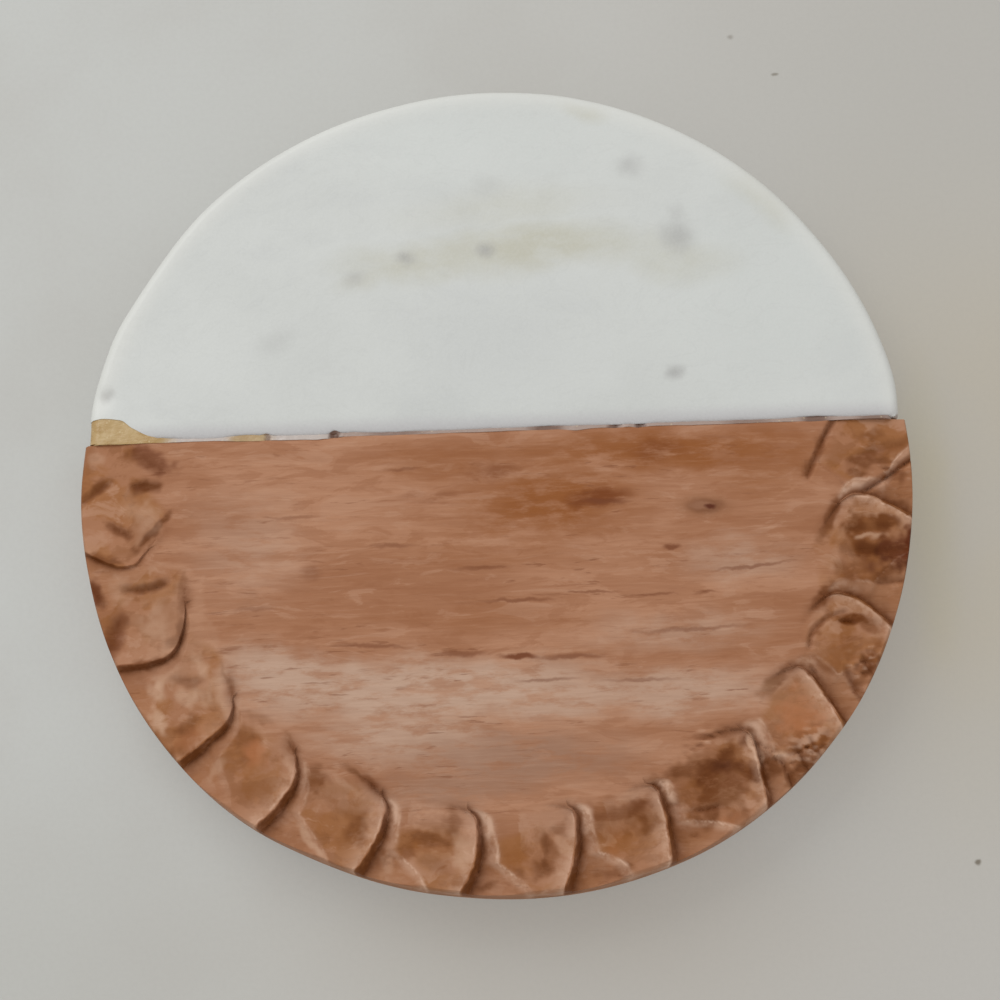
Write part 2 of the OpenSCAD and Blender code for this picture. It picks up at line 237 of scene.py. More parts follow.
# Tones of finish left on the carving and where they lie: angle and radius, half length along the
# rim, half width, turn from the rim's direction, the share of it that is full, and strength. Stains
# multiply the wood's own colour, the others cover it. The umber tone is partly stain and partly painted
# shade, beside the cuts and along the outer rim
CARVED_TONES = {
    "umber_and_shade": ("MULTIPLY", (168, 138, 90), [
        (180.4, 42, 1.1, 2.3, 0, 0.4, 0.95), (180.3, 47.8, 2.4, 0.8, 50, 0.3, 0.6),
        (187, 45.3, 1.8, 0.8, -51, 0.3, 0.6), (190.6, 47.8, 2.4, 0.8, -64, 0.3, 0.6),
        (187.9, 41.5, 3.8, 0.6, 52, 0.5, 0.85), (196.7, 43.2, 0.8, 2.9, 8, 0.3, 0.42),
        (196.6, 42.4, 0.9, 1.5, 0, 0.3, 0.35), (207.4, 46.4, 3.8, 0.8, -77, 0.4, 0.6),
        (204.4, 41.3, 2.6, 0.9, 23, 0.4, 0.6), (198.4, 39.4, 2.8, 0.6, 20, 0.3, 0.4),
        (213.2, 43.6, 2.2, 1, -46, 0.3, 0.55), (216.4, 39.9, 3.4, 0.5, 22, 0.3, 0.35),
        (225, 40, 2.4, 0.8, -15, 0.3, 0.35), (231.6, 40, 2.2, 0.6, 20, 0.3, 0.4),
        (247, 45.5, 1.9, 2.8, 0, 0.2, 0.55), (243.5, 39.4, 2.8, 0.6, 12, 0.3, 0.6),
        (258.2, 44.3, 3.6, 1.1, 0, 0.3, 0.5), (259.2, 46.8, 3, 1.3, 10, 0.2, 0.35),
        (255.2, 45.8, 1.2, 1.6, 0, 0.2, 0.4), (274.4, 47, 2, 1.5, 0, 0.3, 0.7),
        (275.8, 44, 0.9, 1.4, 0, 0.2, 0.45), (271, 47.6, 1.6, 0.7, 30, 0.2, 0.5),
        (287.6, 42.6, 4.6, 1.4, -3, 0.3, 0.45), (290.2, 44.8, 0.9, 1.6, 0, 0.2, 0.5),
        (302, 45.6, 5.4, 3.2, -8, 0.4, 0.68), (303.4, 43, 4, 1.2, -20, 0.3, 0.65),
        (299.8, 41.1, 3.8, 1, -6, 0.3, 0.65), (306.5, 40, 2.6, 0.6, 10, 0.3, 0.5),
        (319.8, 40.7, 2.3, 0.9, 12, 0.3, 0.65), (326.8, 44.6, 0.8, 2.6, 0, 0.3, 0.45),
        (335.2, 45.3, 1.8, 0.75, 65, 0.5, 0.95), (331.6, 42, 2.6, 0.5, 8, 0.3, 0.5),
        (331, 49, 2.8, 1, 0, 0.3, 0.6), (335.8, 40.7, 2.8, 0.7, 12, 0.3, 0.4),
        (343.2, 47.2, 2.4, 1, 50, 0.3, 0.7), (345.9, 44.8, 1.5, 2, 0, 0.3, 0.8),
        (349.4, 42.8, 1.5, 1.6, 0, 0.4, 0.75), (350.7, 46.6, 1.1, 2, 0, 0.3, 0.8),
        (353.8, 47.6, 1, 2.4, 0, 0.3, 0.6), (350.6, 40.2, 3.6, 0.9, 17, 0.4, 0.5),
        (359.2, 42.8, 1.7, 2.2, 0, 0.3, 0.35), (360.4, 46, 1.4, 2, 30, 0.2, 0.45),
        (364, 45.2, 1.2, 2.4, 0, 0.2, 0.45), (313.2, 49.2, 2.6, 1, 0, 0.3, 0.7),
        (302, 44, 8.5, 4.5, 0, 0.5, 0.25), (342, 45, 10, 4.5, 0, 0.5, 0.2), (287, 43, 9, 3, 0, 0.5, 0.2),
        (350.4, 45, 1.2, 2.2, 0, 0.3, 0.2), (346, 42.8, 1.8, 2, 0, 0.4, 0.25),
        (341.8, 43.2, 1.6, 2.4, 0, 0.3, 0.45), (337.8, 41.2, 2, 1.2, 10, 0.3, 0.6),
        (278, 42.8, 1.4, 1.4, 0, 0.3, 0.6), (261.8, 42, 2.2, 1.8, 0, 0.3, 0.5),
        (238.2, 41.8, 1.8, 1.8, 0, 0.3, 0.6), (344.6, 49, 1.4, 1, 0, 0.3, 0.6),
        (303, 42.4, 3, 1.2, 0, 0.3, 0.5), (310.4, 42.6, 1.6, 0.9, 0, 0.3, 0.5),
        (218, 46.6, 1.4, 2.4, 0, 0.3, 0.5), (354.2, 43.2, 1.4, 2.4, 0, 0.4, 0.35),
        (362, 45, 1.4, 1.4, 0, 0.4, 0.4), (358, 48.6, 1.4, 1, 0, 0.3, 0.5),
        (226, 42.4, 1.8, 1.6, 0, 0.4, 0.4), (282.2, 48.8, 1.6, 1, 0, 0.3, 0.4),
        (302, 48.8, 1.8, 1, 0, 0.3, 0.4), (315.6, 48.2, 2.6, 1.6, 0, 0.4, 0.45),
        (328.4, 48.8, 3, 1, 0, 0.3, 0.4), (294, 41, 1.6, 1.2, 0, 0.3, 0.45),
        (290.4, 43, 1.5, 2, 0, 0.3, 0.45), (296.4, 41.2, 2.2, 0.9, 0, 0.3, 0.5),
        (305.6, 43.4, 3.2, 2.2, 0, 0.3, 0.3), (307.8, 46, 1.5, 2, 0, 0.4, 0.85),
        (311.4, 42.8, 1, 1.4, 0, 0.3, 0.5), (310.6, 46.8, 0.8, 1.8, 0, 0.4, 0.75),
        (316.8, 49, 3.2, 0.9, 0, 0.3, 0.5), (276.2, 45.4, 1.3, 2, 0, 0.3, 0.45),
        (266.6, 49, 2.4, 0.9, 0, 0.3, 0.6), (285, 48.8, 2.6, 0.9, 0, 0.3, 0.45),
        (219.8, 48, 1.6, 2.2, 0, 0.3, 0.45), (259.5, 42.4, 3.4, 1.2, 0, 0.2, 0.25),
        (358.2, 43, 0.6, 2.2, 0, 0.4, 0.6), (360.4, 43.8, 0.8, 2.8, 0, 0.4, 0.6),
        (361.6, 38, 4.4, 0.7, 25, 0.4, 0.35), (349.8, 39.8, 4.2, 0.7, 20, 0.4, 0.4),
        (335, 47.4, 1.6, 1.6, 0, 0.2, 0.45), (206.2, 42.6, 0.9, 1.8, 0, 0.3, 0.6),
        (227.6, 43.6, 2.4, 2, 0, 0.3, 0.35)]),
    "russet": ("MULTIPLY", (150, 96, 40), [
        (175.7, 41.6, 3.8, 1.6, -71, 0.5, 0.55), (194.5, 49.6, 2.2, 0.9, 10, 0.3, 0.7),
        (201.8, 49.2, 2.4, 1.9, 0, 0.3, 0.5), (199.5, 47.4, 1.4, 1.2, 0, 0.2, 0.4),
        (305.2, 43.4, 2.2, 1, 30, 0.2, 0.45), (346.8, 47.8, 2.3, 2.7, -10, 0.5, 0.8),
        (348.6, 49.8, 3.8, 1, 0, 0.3, 0.9), (343.8, 45.6, 1, 1.4, 20, 0.2, 0.5),
        (310.2, 43, 1.4, 1.2, 0, 0.4, 0.35)]),
    "ochre": ("MULTIPLY", (228, 208, 162), [
        (232, 47, 3.6, 2.8, 0, 0.3, 0.3), (241.5, 42.6, 3.4, 1.6, 0, 0.3, 0.35),
        (242.6, 46, 3.2, 2.4, 0, 0.2, 0.2), (258.4, 45.6, 4.6, 2, 0, 0.3, 0.6),
        (270.5, 45.6, 3, 2, 0, 0.2, 0.5), (262.4, 48.8, 2.4, 1.4, 0, 0.2, 0.3),
        (287, 46.2, 3.8, 3, 12, 0.3, 0.3), (296.6, 48.8, 2.8, 1.4, 0, 0.2, 0.4),
        (278.8, 49.2, 2, 1, 0, 0.2, 0.3), (330, 45, 3, 2, 0, 0.2, 0.4), (346, 44.2, 5, 3.4, 0, 0.5, 0.4),
        (286.4, 43.4, 5, 2.8, 0, 0.5, 0.4), (301, 43.2, 4, 3, 0, 0.5, 0.35), (340, 42.6, 3, 3, 0, 0.5, 0.4),
        (322.2, 44, 1.6, 2.4, 0, 0.4, 0.5), (334, 48.4, 2.4, 1.2, 0, 0.3, 0.4),
        (318.4, 49, 2, 1, 0, 0.3, 0.5)]),
    "orange": ("MIX", (168, 107, 68), [
        (227.6, 43.6, 2.6, 2.2, 0, 0.2, 0.9), (219.7, 47, 1.8, 2.8, 0, 0.2, 0.45),
        (318.6, 45.2, 3.6, 3.4, 35, 0.3, 0.85), (322, 47.6, 1.4, 2, 0, 0.2, 0.5),
        (301, 48.6, 1.8, 1, 0, 0.2, 0.35), (284.6, 46.6, 1.2, 2, 30, 0.2, 0.35)]),
    "pale": ("MIX", (200, 162, 134), [
        (211.6, 47.2, 1.8, 1.8, 0, 0.2, 0.7), (214.6, 44.6, 1.6, 1.4, -46, 0.2, 0.5),
        (217.8, 41.6, 4, 1, 18, 0.2, 0.4), (262.8, 45, 1.3, 3, -6, 0.2, 0.5),
        (310.3, 44.3, 2.5, 0.6, -70, 0.4, 0.9), (312.9, 46.8, 1.8, 0.6, 45, 0.2, 0.6),
        (348.3, 45.1, 0.35, 2.4, -5, 0.3, 0.55), (183.6, 43.4, 1.6, 2.4, 30, 0.2, 0.3),
        (233.6, 42.2, 2.4, 0.6, 40, 0.2, 0.3), (248, 43, 0.9, 2.6, -10, 0.2, 0.2),
        (243, 41, 3.4, 0.6, 14, 0.2, 0.2), (277.6, 44.4, 0.9, 2.6, -14, 0.2, 0.2),
        (290.4, 41.4, 1.6, 0.7, 10, 0.2, 0.2), (225.2, 47.6, 0.8, 2.2, 0, 0.2, 0.35),
        (186, 42, 3.2, 2.2, 0, 0.2, 0.35), (195.5, 46.4, 2.6, 1.6, 0, 0.2, 0.3),
        (202.5, 43.6, 4.2, 2.2, 0, 0.2, 0.32), (211.6, 41.4, 2.8, 1.2, 0, 0.2, 0.4),
        (215, 48.7, 2.4, 1.1, 0, 0.3, 0.7), (215.4, 43, 2.4, 1.1, 0, 0.2, 0.4),
        (242.2, 48.8, 3, 0.5, 28, 0.3, 0.5), (252.6, 47.8, 1.3, 1.8, 0, 0.2, 0.4),
        (175.6, 48.4, 1.6, 1.2, 0, 0.3, 0.3), (210.6, 45.4, 1.2, 2.4, 0, 0.2, 0.3),
        (206, 42.4, 9, 5, 0, 0.6, 0.15)]),
}
MASKS = ("finish", "shade", "wear_and_highlight") + tuple(CARVED_TONES)
TONE_SEED = 60


def wear_rim(p, table, radius):
    """Moves points in or out as the hand-finished rim lies off its circle, most at the rim itself."""
    angle, reach = polar(p[:, :2])
    places, shifts = np.array(table).T
    if places[0] < 90:
        angle = angle % 360
    fine = np.linspace(places[0], places[-1], 400)
    soft = np.convolve(np.pad(np.interp(fine, places, shifts), 5, "edge"), np.ones(11) / 11, "valid")
    move = np.interp(angle, fine, soft) * (reach / radius) ** 5
    q = p.copy()
    q[:, :2] += (p[:, :2] - MIDDLE) * (move / np.maximum(reach, 1))[:, None]
    return q


def wear_ring(ring, table, radius):
    """The same for a ring of a half disc, whose two ends stay on the seam."""
    q = wear_rim(ring, table, radius)
    q[0, 1], q[-1, 1] = ring[0, 1], ring[-1, 1]
    return q


def edge_wander(x, chips, seed):
    """How far an upper edge along the seam draws back, for each x."""
    x = np.asarray(x, float)
    back = 0.03 + 0.04 * lattice(x, 0 * x, 2.6, seed) + 0.02 * lattice(x, 0 * x, 0.8, seed + 1)
    for place, half, depth in chips:
        back = back + depth * bump(x - place, half)
    return np.maximum(back, 0.01)


def edge_fall(p, rim_r, edge_r):
    """How far the rounded edge of a rim falls off at points p."""
    reach = np.clip(polar(p)[1] - (rim_r - edge_r), 0, edge_r)
    return edge_r - np.sqrt(np.maximum(edge_r ** 2 - reach ** 2, 0))


class Cut:
    """A stop cut: its line, its radial part as angle by radius, and its hook as radius by angle."""

    def __init__(self, points, strength, crest, ridge, hook):
        run_out = (points[0][0] + (points[0][0] - points[1][0]) * 0.4, CUT_RUNOUT_R)
        self.strength, self.crest, self.ridge, self.hook = strength, crest, ridge, hook
        self.path = curve_through([at(*q) for q in [run_out] + list(points)])
        self.corner_a, self.corner_r = points[-2]
        self.end_a = points[-1][0]
        angle, radius = polar(self.path)
        on_radial = radius >= self.corner_r - 0.3
        order = np.argsort(radius[on_radial])
        self.out_r, self.out_a = radius[on_radial][order], angle[on_radial][order]
        on_hook = (angle <= self.corner_a + 0.2) & (radius < self.corner_r + 1)
        order = np.argsort(angle[on_hook])
        self.hook_a, self.hook_r = angle[on_hook][order], radius[on_hook][order]
        self.corner_t = along(self.path, at(*points[-2])[None])[1][0]
        self.end_t = path_length(self.path)

    def arc(self, angle, radius):
        """Arc length beside the cut's radial part, counted towards greater angles."""
        return np.radians(angle - np.interp(radius, self.out_r, self.out_a)) * radius

    def depth(self, radius):
        c = self.corner_r
        share = np.interp(radius, [c - 1.2, c, c + 3, DISC_R, CUT_RUNOUT_R], [0, 0.3, 0.62, 1, 1.08])
        return self.strength * CUT_DEPTH * share


CUT_LINES = [Cut(*c) for c in CUTS]


def scale_boundary(k, angle):
    """Radius of the inner edge of the scale that ends at cut k."""
    cut = CUT_LINES[k]
    if k:
        before = (CUT_LINES[k - 1].corner_a + 1.2, CUT_LINES[k - 1].corner_r + 1)
    else:
        before = (cut.end_a - 9, 41.5)
    a = np.concatenate([[before[0] - 8, before[0]], cut.hook_a])
    r = np.concatenate([[before[1] + 4, before[1]], cut.hook_r])
    return np.interp(angle, a, r)


class Carving:
    """The carving at points p: how deep it lies below the top, and its finish, its painted shade, and its
    wear with painted highlights.
    """

    def __init__(self, p):
        x, y = p.T
        self.p = p
        self.angle, self.radius = polar(p)
        self.depth, self.finish, self.shade, self.wear_and_highlight = np.zeros((4, len(p)))
        self.uneven = lattice(x, y, 3.4, 5)
        self.fine = lattice(x, y, 0.9, 6)
        self.crumb = lattice(x, y, 0.42, 7)
        self.ragged = np.clip(0.72 + 0.55 * lattice(x, y, 1.3, 8) + 0.35 * self.crumb, 0.12, 1)
        self.splinter = lattice(x * 0.45, y, 0.42, 11)
        for k in range(len(CUTS) + 1):
            self.sink_scale(k)
        for cut in CUT_LINES:
            self.stop_cut(cut)
        for stroke in STROKES:
            self.gouge(*stroke)
        for patch in TORN:
            self.tear(*patch)

    def between(self, lo, hi):
        """The carved points between two angles."""
        return np.flatnonzero((self.radius > CARVED_FROM_R) & (self.angle > lo) & (self.angle < hi))

    def sink_scale(self, k):
        """The sunk face of the scale that ends at cut k. The last one has no cut at its end."""
        last = k == len(CUTS)
        lo = CUT_LINES[k - 1].corner_a - 3 if k else 172
        hi = 368 if last else CUT_LINES[k].out_a.max() + 1
        i = self.between(lo, hi)
        a, r, uneven = self.angle[i], self.radius[i], self.uneven[i]
        if last:
            inner, step, beside = np.interp(a, LAST_EDGE_A, LAST_EDGE_R), LAST_STEP, np.full(len(i), -6)
        else:
            cut = CUT_LINES[k]
            inner = scale_boundary(k, a)
            step = SCALE_STEP * cut.strength * smooth(a, cut.end_a, cut.corner_a)
            beside = cut.arc(a, r)
        out = r - inner
        use = (beside < 0) & (out > 0)
        if k:
            use &= CUT_LINES[k - 1].arc(a, r) > 0
        face = step + SCALE_SLOPE * out + 0.05 * uneven * smooth(out, 0, 2)
        # shallow furrows of the gouge
        face = face + 0.035 * np.abs(np.sin(beside * 1.35 + 0.8 * uneven + k))
        face = face - CREST_RISE * np.exp(np.minimum(beside, 0) / CREST_W) * smooth(out, 1, 4)
        face = np.maximum(face, 0.06) * smooth(out, 0, 0.28)
        self.depth[i] = np.where(use, np.maximum(self.depth[i], face), self.depth[i])
        start = FINISH_FROM[k]
        self.finish[i] = np.maximum(self.finish[i], use * smooth(out + 0.9 * uneven, start, start + 1.7))

    def stop_cut(self, cut):
        """A stop cut with the facet beside it and its hook: painted shade and dark finish inside, rubbed pale
        along its crests with painted highlights beside them.
        """
        i = self.between(cut.end_a - 3, cut.corner_a + 14)
        r, uneven, fine, crumb, ragged = (
            values[i] for values in (self.radius, self.uneven, self.fine, self.crumb, self.ragged))
        out = r - cut.corner_r
        beside = cut.arc(self.angle[i], r) + 0.05 * fine
        valley = cut.depth(r)
        foot = valley / WALL_SLOPE
        width = np.interp(r, FACET_R, FACET_W) * (1 + 0.12 * uneven)
        ridge = SCALE_SLOPE * np.maximum(out, 0) + 0.02
        over = np.maximum(beside - foot, 0) / np.maximum(width - foot, 0.3)
        facet = valley + (ridge - valley) * over
        groove = np.where(beside < foot, valley - (foot - beside) * WALL_SLOPE, facet)
        groove = np.where(out > -1.2, groove, -1)
        # the hook, a trough that fades towards its end
        side, way = along(cut.path, self.p[i])
        hook = smooth(way, cut.corner_t - 1.5, cut.corner_t + 0.5)
        fade = 1 - smooth(way, cut.corner_t + 0.5, cut.end_t - 0.2)
        trough = HOOK_DEPTH * cut.strength * cut.hook * hook * fade
        slot = trough - np.where(side > 0, 2.2 * side, -0.5 * side)
        slot = np.where(trough > 0.01, slot, -1)
        self.depth[i] = soft_max(self.depth[i], np.maximum(groove, slot), ROUND)
        # the painted shade of the wall, with the dark finish left in the cut, which fades more slowly over
        # the facet where the ridge stands out
        strong = np.minimum(valley / 0.9, 1)
        torn = beside + 0.1 * crumb + 0.08 * fine
        past = np.maximum(torn - foot - 0.1, 0)
        near, far = 0.55 - 0.2 * cut.ridge ** 2, 0.45 + 0.12 * cut.ridge ** 2
        wall = smooth(torn, -0.05, 0.2) * (near * np.exp(-past / 0.42) + far * np.exp(-past / 1.5))
        deep = wall * strong * (out > -1.2)
        deep = np.maximum(deep, bump(side - 0.1, 0.7) * trough / 0.5)
        head_highlight = bump(past - 0.8, 0.62) * smooth(out, -0.8, 0.4) * (1 - smooth(out, 1.4, 4.8))
        deep = deep * (1 - 0.75 * cut.ridge * head_highlight)
        self.shade[i] = np.maximum(self.shade[i], np.clip(deep, 0, 1))
        # the wear and painted highlights: the worn crest of the wall with a painted highlight on the scale
        # beside it, the facet's outer edge, worn and painted highlight in one, and painted highlights on the
        # head of the facet and the hook's lip
        crest = bump(beside + 0.22 + 0.12 * crumb, 0.2 + 0.06 * uneven) * ragged
        lit = 0.68 * np.exp(np.minimum(beside + 0.2, 0) / 1.4) * (beside < -0.1)
        crest = np.maximum(crest, lit) * strong * (out > 0)
        edge = bump(beside - width + 0.14 * crumb, 0.24) * (out > 0.4) * ragged
        edge = np.maximum(edge, 0.45 * bump(beside - width + 0.5, 0.7) * (out > 0.2))
        lip_highlight = 0.25 * bump(side + 1.1, 0.8) * hook * (1 - smooth(way, cut.corner_t + 1, cut.end_t))
        pale = np.maximum(cut.crest * np.maximum(crest, lip_highlight), cut.ridge * np.maximum(edge, 1.2 * head_highlight))
        self.wear_and_highlight[i] = np.maximum(self.wear_and_highlight[i], np.clip(pale, 0, 1))
        on_facet = (beside > foot) & (beside < width) & (out > 0)
        self.finish[i] = np.where(on_facet, FACET_FINISH, self.finish[i])

    def gouge(self, points, half, deep):
        """A short gouge stroke, which tapers at its ends but where it runs out over the rim."""
        path = curve_through([at(*q) for q in points])
        a, _ = polar(path)
        i = self.between(a.min() - 4, a.max() + 4)
        side, way = along(path, self.p[i])
        length = path_length(path)
        if points[0][1] >= DISC_R:
            taper = 1 - smooth(way, length - 1.2, length + 0.2)
        elif points[-1][1] > DISC_R:
            taper = smooth(way, -0.2, 1.2)
        else:
            taper = smooth(way, -0.2, 1) * (1 - smooth(way, length - 1, length + 0.2))
        scoop = deep * taper * (1 - np.abs(side) / half) + 0.02 * self.fine[i]
        scoop = np.where(np.abs(side) < half * 1.3, scoop, 0) * (taper > 0.02)
        self.depth[i] += np.maximum(scoop, 0)
        # painted shade in the stroke's hollow, darker where it is deeper
        hollow_shade = np.clip(scoop / deep, 0, 1) * min(deep / STROKE_SHADE, 1)
        self.shade[i] = np.maximum(self.shade[i], 0.85 * hollow_shade)

    def tear(self, place_a, place_r, half_a, half_r, strength):
        """Splinters along the grain where the tool tore the rim."""
        round_rim = np.radians(self.angle - place_a) * self.radius
        near = bump(round_rim, half_a) * bump(self.radius - place_r, half_r) * strength
        torn = near * smooth(self.splinter, 0, 0.5)
        self.depth += TEAR_DEPTH * torn
        # painted shade in the torn hollows, pale wear on the splinters
        self.shade = np.maximum(self.shade, 0.85 * torn)
        self.wear_and_highlight = np.maximum(self.wear_and_highlight, 0.8 * near * smooth(-self.splinter, 0.2, 0.6))


def blots(p, places, seed):
    """How strongly blots with torn edges lie over points."""
    angle, radius = polar(p)
    x, y = p.T
    move_x, move_y = (0.35 * lattice(x, y, 1.7, seed + k) + 0.2 * lattice(x, y, 0.7, seed + k + 1)
                      for k in (0, 2))
    torn = 0.24 * lattice(x, y, 1.3, seed + 4) + 0.16 * lattice(x, y, 0.55, seed + 5)
    total = np.zeros(len(p))
    for place_a, place_r, half_l, half_w, turn, full, strength in places:
        c, s = math.cos(math.radians(turn)), math.sin(math.radians(turn))
        dx = np.radians(angle - place_a) * place_r + move_x
        dy = radius - place_r + move_y
        far = np.hypot((dx * c + dy * s) / half_l, (dy * c - dx * s) / half_w) + torn
        total = 1 - (1 - total) * (1 - strength * (1 - smooth(far, full, 1.1)))
    return total


# Mesh building
SHARP = math.radians(38)
# Sides of a dowel's bore, and of the glue's sleeve and the hole in it
BORE_SIDES, SLEEVE_SIDES = 48, 64


def shell(rings):
    """Vertices and faces of one open surface through rings of points. A pole is a ring of one."""
    verts = np.vstack(rings)
    start = np.concatenate([[0], np.cumsum([len(r) for r in rings])])
    faces = []
    for s, t, a, b in zip(start, start[1:], rings, rings[1:]):
        na, nb = len(a), len(b)
        if na == nb:
            faces += [(s + j, s + j + 1, t + j + 1, t + j) for j in range(na - 1)]
        elif na == 1:
            faces += [(s, t + j + 1, t + j) for j in range(nb - 1)]
        elif nb == 1:
            faces += [(s + j, s + j + 1, t) for j in range(na - 1)]
        else:
            few, many, n_few, n_many = (s, t, na, nb) if na < nb else (t, s, nb, na)
            per = (n_many - 1) // (n_few - 1)
            for j in range(n_few - 1):
                base = many + j * per
                faces += [(few + j, base + m, base + m + 1) for m in range(per // 2)]
                faces += [(few + j, base + per // 2, few + j + 1)]
                faces += [(few + j + 1, base + m, base + m + 1) for m in range(per // 2, per)]
    return verts, faces, start


def boundary_loop(rings, start):
    """The open edge of such a surface between two poles: out along one side and back by the other."""
    first = [int(s) for s in start[:-1]]
    last = [int(s) + len(r) - 1 for s, r in zip(start, rings)]
    return first + last[-2:0:-1]


def soften(mesh):
    mesh.shade_smooth()
    mesh.set_sharp_from_angle(angle=SHARP)


def add_object(name, data):
    obj = bpy.data.objects.new(name, data)
    bpy.context.scene.collection.objects.link(obj)
    return obj


def finish_mesh(bm, name):
    bmesh.ops.recalc_face_normals(bm, faces=bm.faces)
    mesh = bpy.data.meshes.new(name)
    bm.to_mesh(mesh)
    bm.free()
    soften(mesh)
    return add_object(name, mesh)


def vertex(bm, x, y, z):
    return bm.verts.new(Vector((x, y, z)) * MM)


def next_of(ring):
    """Each item of a closed ring with the one after it."""
    return list(zip(ring, ring[1:] + ring[:1]))


def dowel_ring(bm, side, radius, y, count):
    """A ring of points about a dowel's middle line."""
    return [vertex(bm, side * DOWEL_X + radius * math.cos(t), y, DOWEL_Z + radius * math.sin(t))
            for t in np.linspace(0, 2 * np.pi, count, endpoint=False)]


def segment(name, rings, masks, face_y, bore_to):
    """A closed half of the disc: its shell, its face on the seam and two bores in it."""
    verts, faces, start = shell(rings)
    bm = bmesh.new()
    layers = {key: bm.verts.layers.float.new(key) for key in masks}
    made = [bm.verts.new(co * MM) for co in verts]
    for key, layer in layers.items():
        for v, x in zip(made, np.concatenate(masks[key])):
            v[layer] = float(x)
    for f in faces:
        bm.faces.new([made[i] for i in f])
    # the upper edge may wander, so the flat seam face starts a little below it
    loop = boundary_loop(rings, start)
    flat = {}
    for i in loop:
        if verts[i][2] > TOP_Z - EDGE_DROP:
            flat[i] = vertex(bm, verts[i][0], face_y, TOP_Z - EDGE_DROP)
    for i, j in next_of(loop):
        if i in flat and j in flat:
            bm.faces.new([made[i], made[j], flat[j], flat[i]])
        elif i in flat or j in flat:
            # where the loop enters or leaves the upper edge, a triangle closes the step
            a, b = (i, j) if i in flat else (j, i)
            bm.faces.new([made[a], made[b], flat[a]])
    inner = [flat.get(i, made[i]) for i in loop]
    edges = [bm.edges.get(pair) or bm.edges.new(pair) for pair in next_of(inner)]
    for side in (-1, 1):
        mouth, end = (dowel_ring(bm, side, BORE_R, y, BORE_SIDES) for y in (face_y, bore_to))
        for (a, b), (d, c) in zip(next_of(mouth), next_of(end)):
            edges.append(bm.edges.new((a, b)))
            bm.faces.new([a, b, c, d])
        bm.faces.new(end)
    bmesh.ops.triangle_fill(bm, edges=edges, use_beauty=True, use_dissolve=False, normal=(0, 1, 0))
    return finish_mesh(bm, name)


def stations(lo, hi, radius, coarse, fine, places, per):
    """Angles along a rim, closer together around the given places. Their count suits steps of per."""
    a = np.linspace(lo, hi, 24001)
    gap = np.full(len(a), coarse)
    for place in places:
        arc = np.radians(a - place) * radius
        gap = np.where((arc > -0.5) & (arc < 1.6), fine, gap)
    count = np.concatenate([[0], np.cumsum(np.radians(np.diff(a)) * radius / gap[1:])])
    n = int(math.ceil(count[-1] / per)) * per
    return np.interp(np.linspace(0, count[-1], n + 1), count, a)


def rounded_edge(rim_r, edge_r, rows):
    """Shares of the rim's radius for rings over its rounded upper edge."""
    return (rim_r - edge_r + edge_r * np.sin(np.linspace(0, np.pi / 2, rows))) / rim_r


def lower_rings(pole, rim_p, top, rim_r, edge_r, rows, per=1):
    """Rings down the side, round the lower edge and in under the disc, where every per-th point stays.

    Each comes with its share of the way down the side, or None under the disc.
    """
    side_rows, edge_rows, under_rows = rows
    low = BOTTOM_Z + edge_r
    for share in np.linspace(0, 1, side_rows + 1)[1:]:
        yield np.column_stack([rim_p, top + (low - top) * share]), share
    for turn in np.linspace(0, np.pi / 2, edge_rows + 1)[1:]:
        p = pole + (1 - edge_r * (1 - math.cos(turn)) / rim_r) * (rim_p - pole)
        yield np.column_stack([p, BOTTOM_Z + edge_fall(p, rim_r, edge_r)]), 1
    for v in np.linspace(0.95, 0, under_rows):
        p = (pole + v * (rim_p - pole))[::per] if v else pole[None]
        yield np.column_stack([p, np.full(len(p), BOTTOM_Z)]), None


def seam_frame(rim_r, face_y):
    """The middle of a segment's seam face, and the angle of its right end."""
    return np.array([0, face_y]), math.degrees(math.asin((face_y - DISC_Y) / rim_r))


